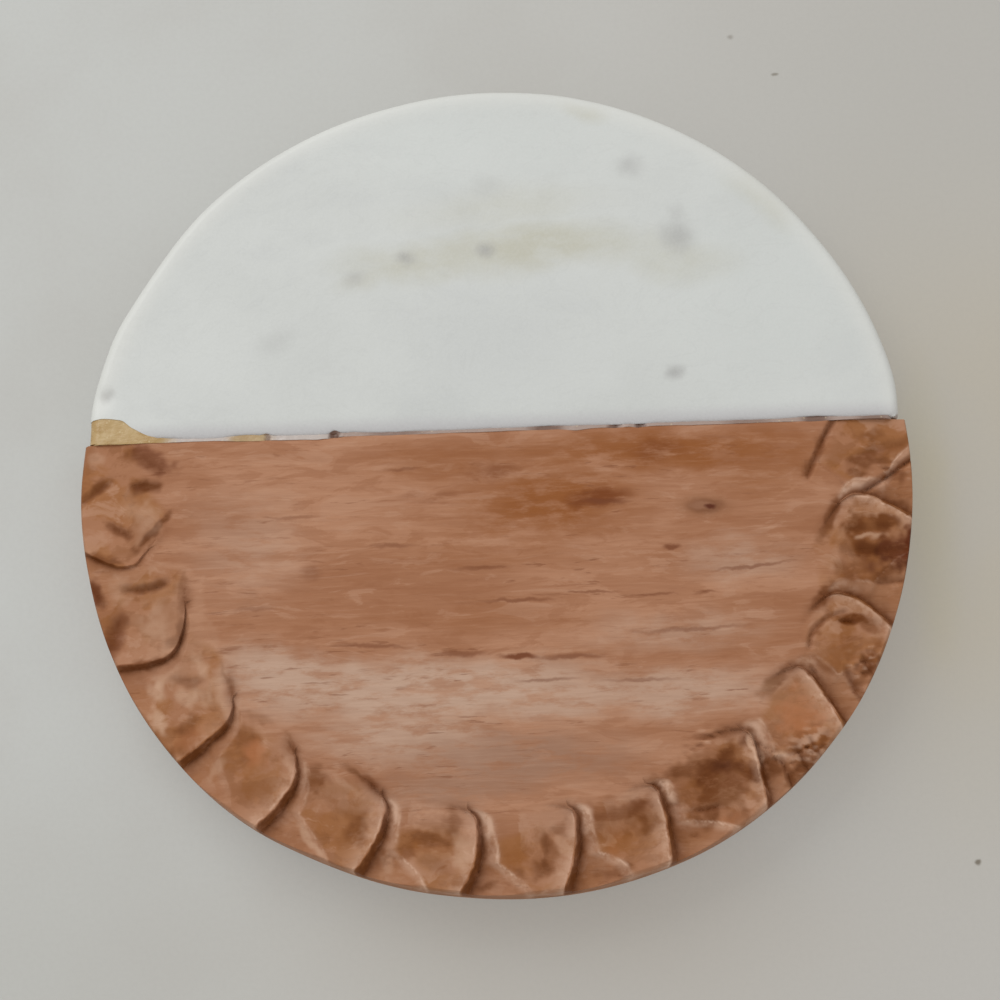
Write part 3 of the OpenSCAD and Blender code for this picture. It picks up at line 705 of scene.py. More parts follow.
# The wood
def build_wood():
    face_y = SEAM_Y - GLUE_HALF
    pole, corner = seam_frame(DISC_R, face_y)
    lo, hi = 180 - corner, 360 + corner
    # inside the share band_v of the way to the rim the grid has one point for each per outside it
    per, band_v = 4, 0.742
    cut_at = [np.interp(DISC_R, c.out_r, c.out_a) for c in CUT_LINES]
    angles = stations(lo, hi, DISC_R, coarse=0.235, fine=0.085, places=cut_at, per=per)
    rim_p = at(angles, DISC_R)
    rim_p[0, 1] = rim_p[-1, 1] = face_y

    # the grid's lines follow the stop cuts
    shifts = []
    for cut, rim_a in zip(CUT_LINES, cut_at):
        d = at(cut.out_a, cut.out_r) - pole
        o = pole - MIDDLE
        a, b, c = (d * d).sum(-1), 2 * (d @ o), o @ o - DISC_R ** 2
        s = (-b + np.sqrt(b * b - 4 * a * c)) / (2 * a)
        reach_a, _ = polar(pole + s[:, None] * d)
        v = 1 / s
        order = np.argsort(v)
        shifts.append((v[order], reach_a[order] - rim_a, v.min()))

    def row(v):
        """Points of the grid at a share v of the way from the pole to the rim."""
        move = [np.interp(max(v, v_in), vs, shift) * smooth(v, band_v, v_in) for vs, shift, v_in in shifts]
        turned = angles + np.interp(angles, [lo] + cut_at + [hi], [0] + move + [0])
        p = at(turned, DISC_R)
        p[0], p[-1] = rim_p[0], rim_p[-1]
        return pole + v * (p - pole)

    rings, masks = [], {k: [] for k in MASKS}

    def add(points, values):
        rings.append(points)
        for key, value in zip(MASKS, values):
            masks[key].append(np.asarray(value, float) * np.ones(len(points)))

    def add_top(p):
        """Adds a ring of the top over points p: the carving, the rounded rim, the seam's edge."""
        carved = Carving(p)
        depth = soft_max(carved.depth, edge_fall(p, DISC_R, WOOD_TOP_R) + 0.02, 0.08)
        from_seam = face_y - p[:, 1]
        depth = depth + 0.05 * bump(from_seam, 0.32) + 0.012 * (1 + lattice(p[:, 0], p[:, 1], 7, 9))
        # the seam's edge draws back where it is chipped
        back = edge_wander(p[:, 0], WOOD_EDGE_CHIPS, WOOD_EDGE_SEED)
        y = p[:, 1] - back * np.exp(-from_seam / 0.6)
        tones = [blots(p, places, TONE_SEED + 10 * k) * (carved.radius > STAINED_FROM_R)
                 for k, (_, _, places) in enumerate(CARVED_TONES.values())]
        # faint wear and painted highlight don't show through umber, which is partly painted shade, and russet
        wear_and_highlight = np.clip(carved.wear_and_highlight - 0.3 * np.maximum(tones[0], tones[1]), 0, 1)
        add(np.stack([p[:, 0], y, TOP_Z - depth], -1), [carved.finish, carved.shade, wear_and_highlight] + tones)

    rim_v = rounded_edge(DISC_R, WOOD_TOP_R, rows=13)
    for v in np.linspace(0, band_v, 40)[:-1]:
        add_top(row(v)[::per] if v else pole[None])
    for v in np.concatenate([np.linspace(band_v, rim_v[0], 64)[:-1], rim_v]):
        add_top(row(v))
    rim_masks = [masks[key][-1] for key in MASKS]
    lower = lower_rings(pole, rim_p, rings[-1][:, 2], DISC_R, WOOD_BOTTOM_R, rows=(9, 8, 26), per=per)
    for ring, share in lower:
        if share is None:
            add(ring, [0] * len(MASKS))
        else:
            # the finish runs on down the side, and the rest fades out on it
            fade = 1 - smooth(share, 0.4, 1)
            add(ring, rim_masks[:1] + [value * fade for value in rim_masks[1:]])
    rings = [wear_ring(r, WOOD_RIM, DISC_R) for r in rings]
    return segment("coaster_wood", rings, masks, face_y, SEAM_Y - BORE_HALF_L)


# The marble
# Dents in its top: place along X and Y, radius and depth
MARBLE_DENTS = [(-46.8, 11.3, 1.2, 0.4), (21.6, 11.9, 0.5, 0.1), (17.5, 38.9, 0.6, 0.05)]


def build_marble():
    face_y = SEAM_Y + GLUE_HALF
    pole, corner = seam_frame(MARBLE_R, face_y)
    angles = stations(corner, 180 - corner, MARBLE_R, coarse=0.42, fine=0.2, places=[], per=2)
    rim_p = at(angles, MARBLE_R)
    rim_p[0, 1] = rim_p[-1, 1] = face_y

    def top_ring(p):
        x, y = p.T
        from_seam = y - face_y
        # the seam's edge is rubbed down in a wide soft bevel
        depth = edge_fall(p, MARBLE_R, MARBLE_TOP_R) + 0.26 * np.exp(-from_seam / 0.55)
        depth = depth + 0.01 * (1 + lattice(x, y, 9, 3))
        for x0, y0, r0, deep in MARBLE_DENTS:
            depth = depth + deep * np.exp(-((x - x0) ** 2 + (y - y0) ** 2) / r0 ** 2)
        # the right end of the edge is worn round
        back = edge_wander(x, MARBLE_EDGE_CHIPS, MARBLE_EDGE_SEED) + 0.35 * smooth(x, 46, 48.9) ** 2
        return np.stack([x, y + back * np.exp(-from_seam / 0.7), TOP_Z - depth], -1)

    rim_v = rounded_edge(MARBLE_R, MARBLE_TOP_R, rows=11)
    rings = [top_ring(pole[None])]
    for v in np.concatenate([np.linspace(0, rim_v[0], 60)[1:-1], rim_v]):
        rings.append(top_ring(pole + v * (rim_p - pole)))
    lower = lower_rings(pole, rim_p, rings[-1][:, 2], MARBLE_R, MARBLE_BOTTOM_R, rows=(8, 6, 24))
    rings += [ring for ring, _ in lower]
    rings = [wear_ring(r, MARBLE_RIM, MARBLE_R) for r in rings]
    return segment("coaster_marble", rings, {}, face_y, SEAM_Y + BORE_HALF_L)


# The glue and the broken corner
# Outline of the broken corner, from outside the rim along the break to the seam
BREAK = [(-51.5, 8.9), (-48.4, 8.75), (-46.6, 8.85), (-44.8, 8.6), (-43.9, 8.05), (-43, 7.3),
         (-41.6, 6.6), (-40.4, 6.3), (-39.2, 6.05), (-38.4, 5.7)]
BREAK_ROUGH = 0.16
# How far the fill lies below the stone round it, and how far inside its rim
FILL_SUNK, FILL_INSET = 0.1, 0.05
# How far the glue film's ends lie inside the marble's circle, and how far each moves on along X
FILM_INSET, FILM_LEFT_MOVE, FILM_RIGHT_MOVE = 0.12, 0.45, -1.35
# How far the film's surface lies under the top
FILM_SUNK = 0.03
# Hollows in the glue line: place along X, half width, depth
FILM_HOLLOWS = [(-19.3, 0.6, 0.4), (-27.4, 0.4, 0.25), (6, 2.2, 0.14), (14.6, 0.6, 0.3),
                (17.2, 0.7, 0.34), (38.4, 1.7, 0.22), (-12, 5, 0.08)]
# Points nearer than this are one, in metres
WELD = 1e-6


def close_rings(bm, name, rings):
    """A closed body through rings with as many vertices each, with a face over each end."""
    for a, b in zip(rings, rings[1:]):
        for (a0, a1), (b0, b1) in zip(next_of(a), next_of(b)):
            bm.faces.new([a0, a1, b1, b0])
    bm.faces.new(rings[0])
    bm.faces.new(rings[-1])
    return finish_mesh(bm, name)


def broken_corner(name):
    """An upright body over the broken corner, its sides roughened as a break is."""
    line = curve_through(BREAK, 6)[:-1]
    x, y = np.vstack([(BREAK[0][0], SEAM_Y), line, (BREAK[-1][0], SEAM_Y)]).T
    rough = BREAK_ROUGH * (y > SEAM_Y + 0.01)
    bm = bmesh.new()
    rings = []
    for z in np.linspace(TOP_Z - CHIP_DEPTH, TOP_Z + 1, 8):
        dx = rough * lattice(x, y + 7 * z, 1.3, 41)
        dy = rough * lattice(y + 5, x + 5 * z, 1.1, 42)
        rings.append([vertex(bm, px, py, z) for px, py in zip(x + dx, y + dy)])
    return close_rings(bm, name, rings)


def cylinder(name, side, radius, half_l):
    bm = bmesh.new()
    ends = (SEAM_Y - half_l, SEAM_Y + half_l)
    return close_rings(bm, name, [dowel_ring(bm, side, radius, y, SLEEVE_SIDES) for y in ends])


def combine(obj, other, how):
    """Applies a boolean of one closed body on another, which it uses up."""
    mod = obj.modifiers.new("join", "BOOLEAN")
    mod.operation = how
    mod.solver = "MANIFOLD"
    mod.object = other
    depsgraph = bpy.context.evaluated_depsgraph_get()
    mesh = bpy.data.meshes.new_from_object(obj.evaluated_get(depsgraph), depsgraph=depsgraph)
    obj.modifiers.remove(mod)
    # points that almost meet are welded and many-sided faces split, so that no slivers are left
    bm = bmesh.new()
    bm.from_mesh(mesh)
    bmesh.ops.remove_doubles(bm, verts=bm.verts[:], dist=WELD)
    bmesh.ops.triangulate(bm, faces=[f for f in bm.faces if len(f.verts) > 4])
    bm.to_mesh(mesh)
    bm.free()
    old = obj.data
    obj.data = mesh
    bpy.data.meshes.remove(old)
    bpy.data.objects.remove(other)
    soften(mesh)
    return obj


def marble_profile(z):
    """The marble's radius at a height."""
    up = np.clip(z - (TOP_Z - MARBLE_TOP_R), 0, MARBLE_TOP_R)
    down = np.clip(BOTTOM_Z + MARBLE_BOTTOM_R - z, 0, MARBLE_BOTTOM_R)
    r = MARBLE_R - MARBLE_TOP_R + np.sqrt(np.maximum(MARBLE_TOP_R ** 2 - up ** 2, 0))
    return r - MARBLE_BOTTOM_R + np.sqrt(np.maximum(MARBLE_BOTTOM_R ** 2 - down ** 2, 0))


def build_film():
    """The glue between the two upper edges: a thin upright sheet that fills what the edges leave."""
    turn = np.linspace(0, np.pi / 2, 5)
    levels = np.concatenate([BOTTOM_Z + MARBLE_BOTTOM_R * (1 - np.cos(turn)),
                             np.linspace(BOTTOM_Z + MARBLE_BOTTOM_R, TOP_Z - EDGE_DROP - 0.4, 6)[1:],
                             np.linspace(TOP_Z - EDGE_DROP, TOP_Z - FILM_SUNK, 6)])
    share = np.linspace(-1, 1, 421)
    bm = bmesh.new()
    on_wood, on_stone = [], []
    for z in levels:
        half = math.sqrt(marble_profile(z) ** 2 - (SEAM_Y - DISC_Y) ** 2) - FILM_INSET
        x = share * half
        x = x + np.where(x > 0, FILM_RIGHT_MOVE, FILM_LEFT_MOVE) * np.abs(share) ** 5
        open_by = smooth(z, TOP_Z - EDGE_DROP, TOP_Z - FILM_SUNK)
        wood_y = SEAM_Y - GLUE_HALF - open_by * edge_wander(x, WOOD_EDGE_CHIPS, WOOD_EDGE_SEED)
        stone_y = SEAM_Y + GLUE_HALF + open_by * edge_wander(x, MARBLE_EDGE_CHIPS, MARBLE_EDGE_SEED)
        level = z + 0 * x
        if z == levels[-1]:
            # the line is flush but for a few hollows
            level = z + 0.03 * lattice(x, 0 * x, 1.4, 51)
            for place, half_w, deep in FILM_HOLLOWS:
                level = level - deep * bump(x - place, half_w)
        for side, y in ((on_wood, wood_y), (on_stone, stone_y)):
            side.append([vertex(bm, *q) for q in zip(x, y, level)])

    def strip(r, s):
        for quad in zip(r, r[1:], s[1:], s):
            bm.faces.new(quad)

    for side in (on_wood, on_stone):
        for r, s in zip(side, side[1:]):
            strip(r, s)
    for end in (0, -1):
        strip(on_wood[end], on_stone[end])
        strip([r[end] for r in on_wood], [r[end] for r in on_stone])
    return finish_mesh(bm, "coaster_epoxy")


def build_fill():
    """The amber fill of the broken corner, a little lower than the stone round it."""
    angles = np.linspace(168, 178, 40)
    low, bend = TOP_Z - CHIP_DEPTH, TOP_Z - MARBLE_TOP_R
    over = bend + MARBLE_TOP_R * np.sin(np.radians(np.linspace(8, 90, 9))) - FILL_SUNK
    inner_x = -37
    bm = bmesh.new()
    rings = []
    for z in np.concatenate([[low], np.linspace(low + 0.3, bend, 6), over]):
        r = marble_profile(min(z + FILL_SUNK, TOP_Z)) - FILL_INSET
        p = wear_rim(at(angles, r), MARBLE_RIM, MARBLE_R)
        outline = [*p, (inner_x, p[-1][1]), (inner_x, p[0][1])]
        rings.append([vertex(bm, x, y, z) for x, y in outline])
    return close_rings(bm, "fill", rings)


wood = build_wood()
marble = build_marble()
combine(marble, broken_corner("break_cut"), "DIFFERENCE")
epoxy = build_film()
combine(epoxy, combine(build_fill(), broken_corner("break_fill"), "INTERSECT"), "UNION")
for name, radius, half_l, how in (("sleeve", BORE_R, BORE_HALF_L, "UNION"),
                                  ("pin", DOWEL_R, DOWEL_HALF_L, "DIFFERENCE")):
    for side in (-1, 1):
        combine(epoxy, cylinder(name, side, radius, half_l), how)


# Materials
def rgb(r, g, b):
    """A colour from 0 to 255 as it is seen, in the renderer's linear values."""
    return tuple(((c / 255 + 0.055) / 1.055) ** 2.4 if c > 10 else c / 255 / 12.92 for c in (r, g, b)) + (1,)


class Net:
    """A material's nodes, added one call at a time. Its places are in mm in the frame."""

    def __init__(self, name):
        self.material = bpy.data.materials.new(name)
        self.material.use_nodes = True
        self.tree = self.material.node_tree
        self.tree.nodes.clear()
        self.shader = self.node("BsdfPrincipled", {})
        self.out = self.node("OutputMaterial", {0: self.shader.outputs[0]})
        self.mm = self.vector("SCALE", self.node("TexCoord", {}).outputs["Object"], 1 / MM)

    def put(self, node, key, value):
        if isinstance(value, bpy.types.NodeSocket):
            self.tree.links.new(value, node.inputs[key])
        else:
            node.inputs[key].default_value = value

    def node(self, kind, inputs, **settings):
        """A new node with its settings, and a link or a value for each of the given inputs."""
        made = self.tree.nodes.new("ShaderNode" + kind)
        for key, value in settings.items():
            setattr(made, key, value)
        for key, value in inputs.items():
            self.put(made, key, value)
        return made

    def vector(self, how, a, b=(0, 0, 0)):
        """A vector operation on a and b. SCALE has a number for b, and LENGTH leaves b out."""
        made = self.node("VectorMath", {0: a, "Scale" if how == "SCALE" else 1: b}, operation=how)
        return made.outputs["Value" if how == "LENGTH" else "Vector"]

    def math(self, how, a, b=0):
        return self.node("Math", {0: a, 1: b}, operation=how).outputs[0]

    def times(self, a, b):
        return self.math("MULTIPLY", a, b)

    def total(self, *parts):
        """The sum of several values, each with its weight."""
        result = None
        for value, weight in parts:
            part = self.times(value, weight)
            result = part if result is None else self.math("ADD", result, part)
        return result

    def span(self, x, lo, hi, to_lo=0, to_hi=1, kind="SMOOTHSTEP"):
        """to_lo where x is at lo and to_hi where it is at hi, and held there beyond."""
        values = {"Value": x, "From Min": lo, "From Max": hi, "To Min": to_lo, "To Max": to_hi}
        return self.node("MapRange", values, interpolation_type=kind).outputs[0]

    def map(self, kind, vector, place, turn, scale):
        values = {"Vector": vector, "Location": place, "Rotation": (0, 0, math.radians(turn)), "Scale": scale}
        return self.node("Mapping", values, vector_type=kind).outputs[0]

    def noise(self, vector, scale, detail=3, rough=0.5, warp=0, turn=0, place=(0, 0, 0)):
        """Noise of about 0 to 1. A scale for each axis stretches it, in a field that turn and place set."""
        if isinstance(scale, tuple):
            vector, scale = self.map("POINT", vector, place, turn, scale), 1
        values = {"Vector": vector, "Scale": scale, "Detail": detail, "Roughness": rough, "Distortion": warp}
        return self.node("TexNoise", values).outputs["Fac"]

    def shift(self, scale, amount, detail=2):
        """The place moved about by noise, by up to about half of amount."""
        noise = self.node("TexNoise", {"Vector": self.mm, "Scale": scale, "Detail": detail})
        middle = self.vector("SUBTRACT", noise.outputs["Color"], (0.5, 0.5, 0.5))
        return self.vector("ADD", self.mm, self.vector("SCALE", middle, amount))

    def cells(self, scale):
        return self.node("TexVoronoi", {"Vector": self.mm, "Scale": scale}, feature="F1").outputs["Distance"]

    def part(self, vector, axis):
        return self.node("SeparateXYZ", {0: vector}).outputs[axis]

    def reach(self):
        """Distance from the upright line through the disc's middle."""
        flat = self.vector("MULTIPLY", self.vector("SUBTRACT", self.mm, (0, DISC_Y, 0)), (1, 1, 0))
        return self.vector("LENGTH", flat)

    def mix(self, share, a, b, how="MIX"):
        settings = {"data_type": "RGBA", "blend_type": how, "clamp_factor": True}
        return self.node("Mix", {0: share, 6: a, 7: b}, **settings).outputs[2]

    def tint(self, colour, tone, source, lo, hi, most=1):
        """The colour with a tone over it: none where the source is at lo, most where it is at hi."""
        return self.mix(self.span(source, lo, hi, 0, most), colour, rgb(*tone))

    def spot(self, vector, x, y, rx, ry, turn=0, soft=0):
        """1 inside an ellipse on the top and 0 outside it, with an edge that starts at the share soft."""
        place = self.map("TEXTURE", vector, (x, y + DISC_Y, 0), turn, (rx, ry, 1000))
        return self.span(self.vector("LENGTH", place), 1, soft)

    def spots(self, vector, places):
        """The strongest of several spots, each with its strength last."""
        result = None
        for *place, strength in places:
            one = self.times(self.spot(vector, *place), strength)
            result = one if result is None else self.math("MAXIMUM", result, one)
        return result

    def mask(self, name):
        return self.node("Attribute", {}, attribute_type="GEOMETRY", attribute_name=name).outputs["Fac"]

    def relief(self, height, distance):
        """A surface normal for a height of up to a distance in mm."""
        return self.node("Bump", {"Strength": 1, "Distance": distance * MM, "Height": height}).outputs[0]

    def done(self, **sockets):
        for key, value in sockets.items():
            self.put(self.shader, key.replace("_", " "), value)
        return self.material


# Tones and where they lie: x and y from the disc's middle, half length, half width, turn, the share
# of it that is full, and strength
BOARD_TONES = [
    ((143, 86, 44), [(20.6, 2.2, 30, 4.2, -1, 0.2, 0.95), (6, -3.6, 15, 6.6, 0, 0.2, 1),
                     (-1, -8.5, 22, 5, -3, 0.1, 0.35), (33, -0.5, 10, 6, 0, 0.2, 0.5),
                     (-6, 1.5, 16, 4, 0, 0.1, 0.45), (-2, -17.4, 26, 2.2, -2, 0.1, 0.25)]),
    ((116, 60, 24), [(11.4, -3.5, 5.4, 1.7, 0, 0.3, 0.9), (19, 2, 5, 2, 0, 0.2, 0.6),
                     (-0.5, 0.4, 4.5, 1.2, 0, 0.1, 0.6), (-7.5, -2.6, 6, 1.3, 0, 0.1, 0.5)]),
    ((188, 156, 134), [(-9, -25.6, 32, 5.2, 0, 0.3, 1), (-25, -23.8, 13, 5.6, -8, 0.2, 1),
                       (6, -27.2, 22, 4, 0, 0.2, 0.85), (21, -27, 16, 4.4, 3, 0.2, 0.8),
                       (-11, -31, 17, 5.8, -4, 0.2, 0.85), (-30, -8, 10, 10, 0, 0.1, 0.4),
                       (28, -11.5, 10, 4, 0, 0.1, 0.5), (20, -19.6, 16, 3.4, 0, 0.1, 0.5)]),
    ((158, 122, 100), [(2, -34.2, 20, 5, 0, 0.2, 0.8), (-6, -37.4, 16, 3, 0, 0.2, 0.7)]),
]
# Dark streaks and dashes in the grain
GRAIN_MARKS = [(-15.2, -20.3, 6, 0.4, -4, 0.2, 0.6), (1.9, -22.1, 3.2, 0.5, -2, 0.3, 0.95),
               (8, -22.3, 6, 0.5, 0, 0.2, 0.6), (-5, -21.6, 5, 0.45, 0, 0.2, 0.6),
               (11, -14.7, 4, 0.3, -2, 0.2, 0.6), (18.6, -15.3, 3, 0.28, -2, 0.2, 0.55),
               (29.5, -12.3, 6.5, 0.34, 6, 0.2, 0.6), (12.4, -3.8, 4, 0.55, -2, 0.2, 0.8),
               (20.3, -9.6, 1.5, 0.5, 0, 0.3, 0.8), (-12.5, -8.4, 3.8, 0.45, 0, 0.2, 0.5),
               (-22.3, -11.3, 1.9, 1.4, -10, 0.2, 0.35), (-11, 0.9, 3.2, 0.34, 0, 0.2, 0.5),
               (2, -15.4, 6, 0.36, 0, 0.2, 0.6), (-2.2, -11.4, 5, 0.4, 0, 0.2, 0.5),
               (22, -19.6, 9, 0.4, 2, 0.2, 0.5), (5, -25, 5, 0.34, 0, 0.2, 0.5),
               (-29, -15.4, 3.6, 0.4, 0, 0.2, 0.4), (-24, -4.6, 4.6, 0.36, 0, 0.2, 0.4),
               (16, -25.4, 6, 0.36, 0, 0.2, 0.45), (24, -15.2, 2, 0.26, 0, 0.2, 0.5)]
# The knot, a ring of darker grain round a pale eye with a dark core, each with its colour
KNOT_TURN = -2
KNOT = [((134, 88, 58), (24.2, -4.8, 4.6, 2, KNOT_TURN, 0.2, 0.6)),
        ((118, 74, 48), (24.4, -4.8, 2.9, 1.2, KNOT_TURN, 0.4, 0.7)),
        ((150, 106, 80), (24, -4.7, 2, 0.75, KNOT_TURN, 0.4, 0.75)),
        ((88, 40, 22), (25.1, -4.9, 0.9, 0.42, KNOT_TURN, 0.3, 0.95))]
# Beige veins and grey spots in the marble
MARBLE_BEIGE = [(5.8, 27.9, 18, 4.7, 0, 0.2, 0.95), (-7, 27.2, 15, 3.4, 4, 0.2, 0.75),
                (22, 26.4, 10, 4.6, -8, 0.2, 0.5), (2, 33.2, 18, 4, 4, 0.1, 0.4),
                (12.4, 46.6, 5, 2, -12, 0.1, 0.7), (33.6, 34, 3.4, 6.4, 42, 0.1, 0.55),
                (-15.1, 25.3, 6, 2.2, 20, 0.1, 0.5)]
MARBLE_GREY = [(-16.5, 25, 2.3, 1.6, 20, 0, 0.36), (-10.3, 27.5, 1.9, 1.5, 0, 0, 0.6),
               (-0.5, 28.1, 2, 1.5, 0, 0, 0.7), (17.5, 38.4, 2.6, 2.3, 0, 0, 0.4),
               (22.9, 29.2, 3.4, 3.6, 40, 0, 0.55), (23, 31.4, 1.9, 2.8, 0, 0, 0.3),
               (21.7, 11.8, 1.7, 1.5, 0, 0.1, 0.6), (21.9, 11.9, 0.9, 0.8, 0, 0.2, 0.55),
               (-46.4, 11.2, 1.7, 1.1, 60, 0.1, 0.75), (-0.2, 36.3, 3.4, 2.4, 0, 0, 0.2),
               (-26.2, 17.3, 4, 2.4, 30, 0, 0.2)]
# Hollows of the glue line, dark with dirt and painted shade: place along the seam, half length, strength
SEAM_DIRT_AND_SHADE = [(-27.2, 0.6, 0.7), (-19.2, 0.9, 0.95), (-12, 5, 0.5), (6, 2.8, 0.75), (14, 0.9, 0.8),
             (17.4, 1, 0.8), (30, 4, 0.4), (38.2, 2.4, 0.75), (45, 2.6, 0.55)]
# Darker corners and three crumbs of dirt on the table
TABLE_CORNERS = [(58, 54, 44, 40, 0, 0.1, 0.5), (-56, -56, 40, 36, 0, 0.1, 0.5)]
CRUMBS = [(37.2, 54.1, 0.6, 0.35, 0, 0.2, 0.6), (55.1, -46.8, 0.55, 0.5, 30, 0.3, 0.8),
          (31.8, 59.5, 0.6, 0.5, 0, 0.1, 0.4)]
# Lifts the wood as much as its low sheen takes away
WOOD_GAIN = (1.05, 1.05, 1.06, 1)
# How much of the table's plain colour the picture sees, beside the lit one
PLAIN_SHARE = 0.46


def wood_material():
    n = Net("carved_wood_finish")
    # broad tones along the grain, broken into short patches
    p = n.shift(0.06, 2.6)
    long = n.noise(p, (0.035, 0.16, 0.2), warp=0.6)
    blotch = n.noise(p, (0.13, 0.48, 0.5), 5, 0.6, 0.5)
    band = n.noise(p, (0.05, 0.95, 0.6), 4, 0.62, 0.35, place=(3, 7, 2))
    fibre = n.noise(n.mm, (0.24, 3, 3), 4, 0.6, 0.2)
    hair = n.noise(n.mm, (0.35, 11, 11), 3, 0.6, turn=0.6)
    colour = n.mix(n.span(long, 0.38, 0.62), rgb(160, 110, 79), rgb(176, 128, 98))
    colour = n.tint(colour, (150, 98, 66), blotch, 0.5, 0.58, 0.42)
    colour = n.tint(colour, (184, 140, 112), blotch, 0.45, 0.38, 0.42)
    colour = n.tint(colour, (144, 92, 62), band, 0.56, 0.72, 0.36)
    colour = n.tint(colour, (188, 146, 120), band, 0.4, 0.28, 0.3)
    # the board's own zones
    zone = n.shift(0.16, 5, 4)
    patchy = n.span(n.noise(n.mm, (0.2, 0.62, 0.6), 5, 0.65, place=(11, 3, 0)), 0.36, 0.56, 0.35, 1)
    for tone, places in BOARD_TONES:
        colour = n.mix(n.times(n.spots(zone, places), patchy), colour, rgb(*tone))
    # short dashes of open grain
    dash = n.noise(n.mm, (0.26, 1.9, 1.9), 3, 0.55, 0.3, place=(0, 9, 4))
    where = n.noise(n.mm, (0.05, 0.22, 0.2), place=(8, 2, 0))
    pore = n.times(n.span(dash, 0.6, 0.72), n.span(where, 0.42, 0.6, 0.15, 0.75))
    colour = n.mix(n.times(pore, 0.75), colour, rgb(126, 76, 48))
    colour = n.tint(colour, (126, 80, 54), fibre, 0.6, 0.34, 0.12)
    colour = n.tint(colour, (202, 164, 138), fibre, 0.52, 0.8, 0.12)
    streaks = n.spots(n.shift(0.6, 1, 4), GRAIN_MARKS)
    colour = n.mix(streaks, colour, rgb(114, 64, 38))
    knot_p = n.shift(0.6, 0.9, 3)
    for tone, place in KNOT:
        colour = n.mix(n.spots(knot_p, [place]), colour, rgb(*tone))
    # the carving: finish left in the hollows, in blots of ochre, umber and pink
    finish, shade, wear_and_highlight = n.mask("finish"), n.mask("shade"), n.mask("wear_and_highlight")
    q = n.shift(0.3, 1.6, 3)
    blot = n.noise(q, (0.17, 0.27, 0.3), 4, 0.6, 0.4)
    hue = n.noise(q, (0.14, 0.22, 0.3), 4, 0.6, place=(2, 5, 0))
    stain = n.mix(n.span(hue, 0.44, 0.56), rgb(152, 99, 58), rgb(162, 112, 80))
    stain = n.tint(stain, (128, 78, 40), blot, 0.5, 0.57, 0.45)
    stain = n.tint(stain, (182, 138, 110), blot, 0.44, 0.36, 0.6)
    colour = n.mix(n.times(finish, 0.9), colour, stain)
    reach = n.reach()
    chalky = n.noise(n.mm, (0.8, 1.5, 1), 4, 0.6, place=(7, 1, 5))
    carved = n.times(n.math("LESS_THAN", STAINED_FROM_R, reach), n.span(chalky, 0.34, 0.52, 0.8, 1))
    # the carved tones; the umber one is partly painted shade beside the cuts and along the outer rim
    for key, (how, tone, _) in CARVED_TONES.items():
        colour = n.mix(n.times(n.mask(key), carved), colour, rgb(*tone), how)
    # worn pale on what stands up, with painted highlights beside the crests, on the facet heads and hook
    # lips; dark finish and painted shade in the cuts
    pale_breakup = n.span(n.noise(n.mm, (0.7, 0.7, 0.7), 3, 0.6), 0.34, 0.54, 0.45, 1)
    colour = n.mix(n.times(wear_and_highlight, pale_breakup), colour, rgb(208, 170, 144))
    dirt = n.noise(n.mm, (0.9, 0.9, 0.9), 3, 0.55, place=(4, 4, 4))
    dark_finish_and_shade = n.times(shade, n.span(dirt, 0.25, 0.6, 0.55, 0.95))
    colour = n.mix(n.times(dark_finish_and_shade, 0.86), colour, rgb(96, 48, 14))
    # the lower edge is painted paler: painted light that lifts it out of the shade under its rounding
    lower_edge_light = n.span(n.part(n.mm, 2), BOTTOM_Z + 2.2, BOTTOM_Z + 1, 0, 0.75)
    arris = n.span(reach, DISC_R - 2.6, DISC_R - 1)
    colour = n.mix(n.times(lower_edge_light, arris), colour, rgb(208, 150, 114))
    colour = n.mix(1, colour, WOOD_GAIN, "MULTIPLY")
    # surface: open fibres, soft pits, small tool marks
    height = n.total((fibre, 0.4), (hair, 0.25), (pore, -0.5), (streaks, -0.4), (n.times(dirt, finish), 0.8))
    gloss = n.span(n.math("ADD", long, fibre), 0.7, 1.3, 0.5, 0.62, "LINEAR")
    gloss = n.math("ADD", gloss, n.total((shade, 0.12), (finish, -0.06)))
    return n.done(Base_Color=colour, Roughness=gloss, Normal=n.relief(height, 0.06), Specular_IOR_Level=0.12)


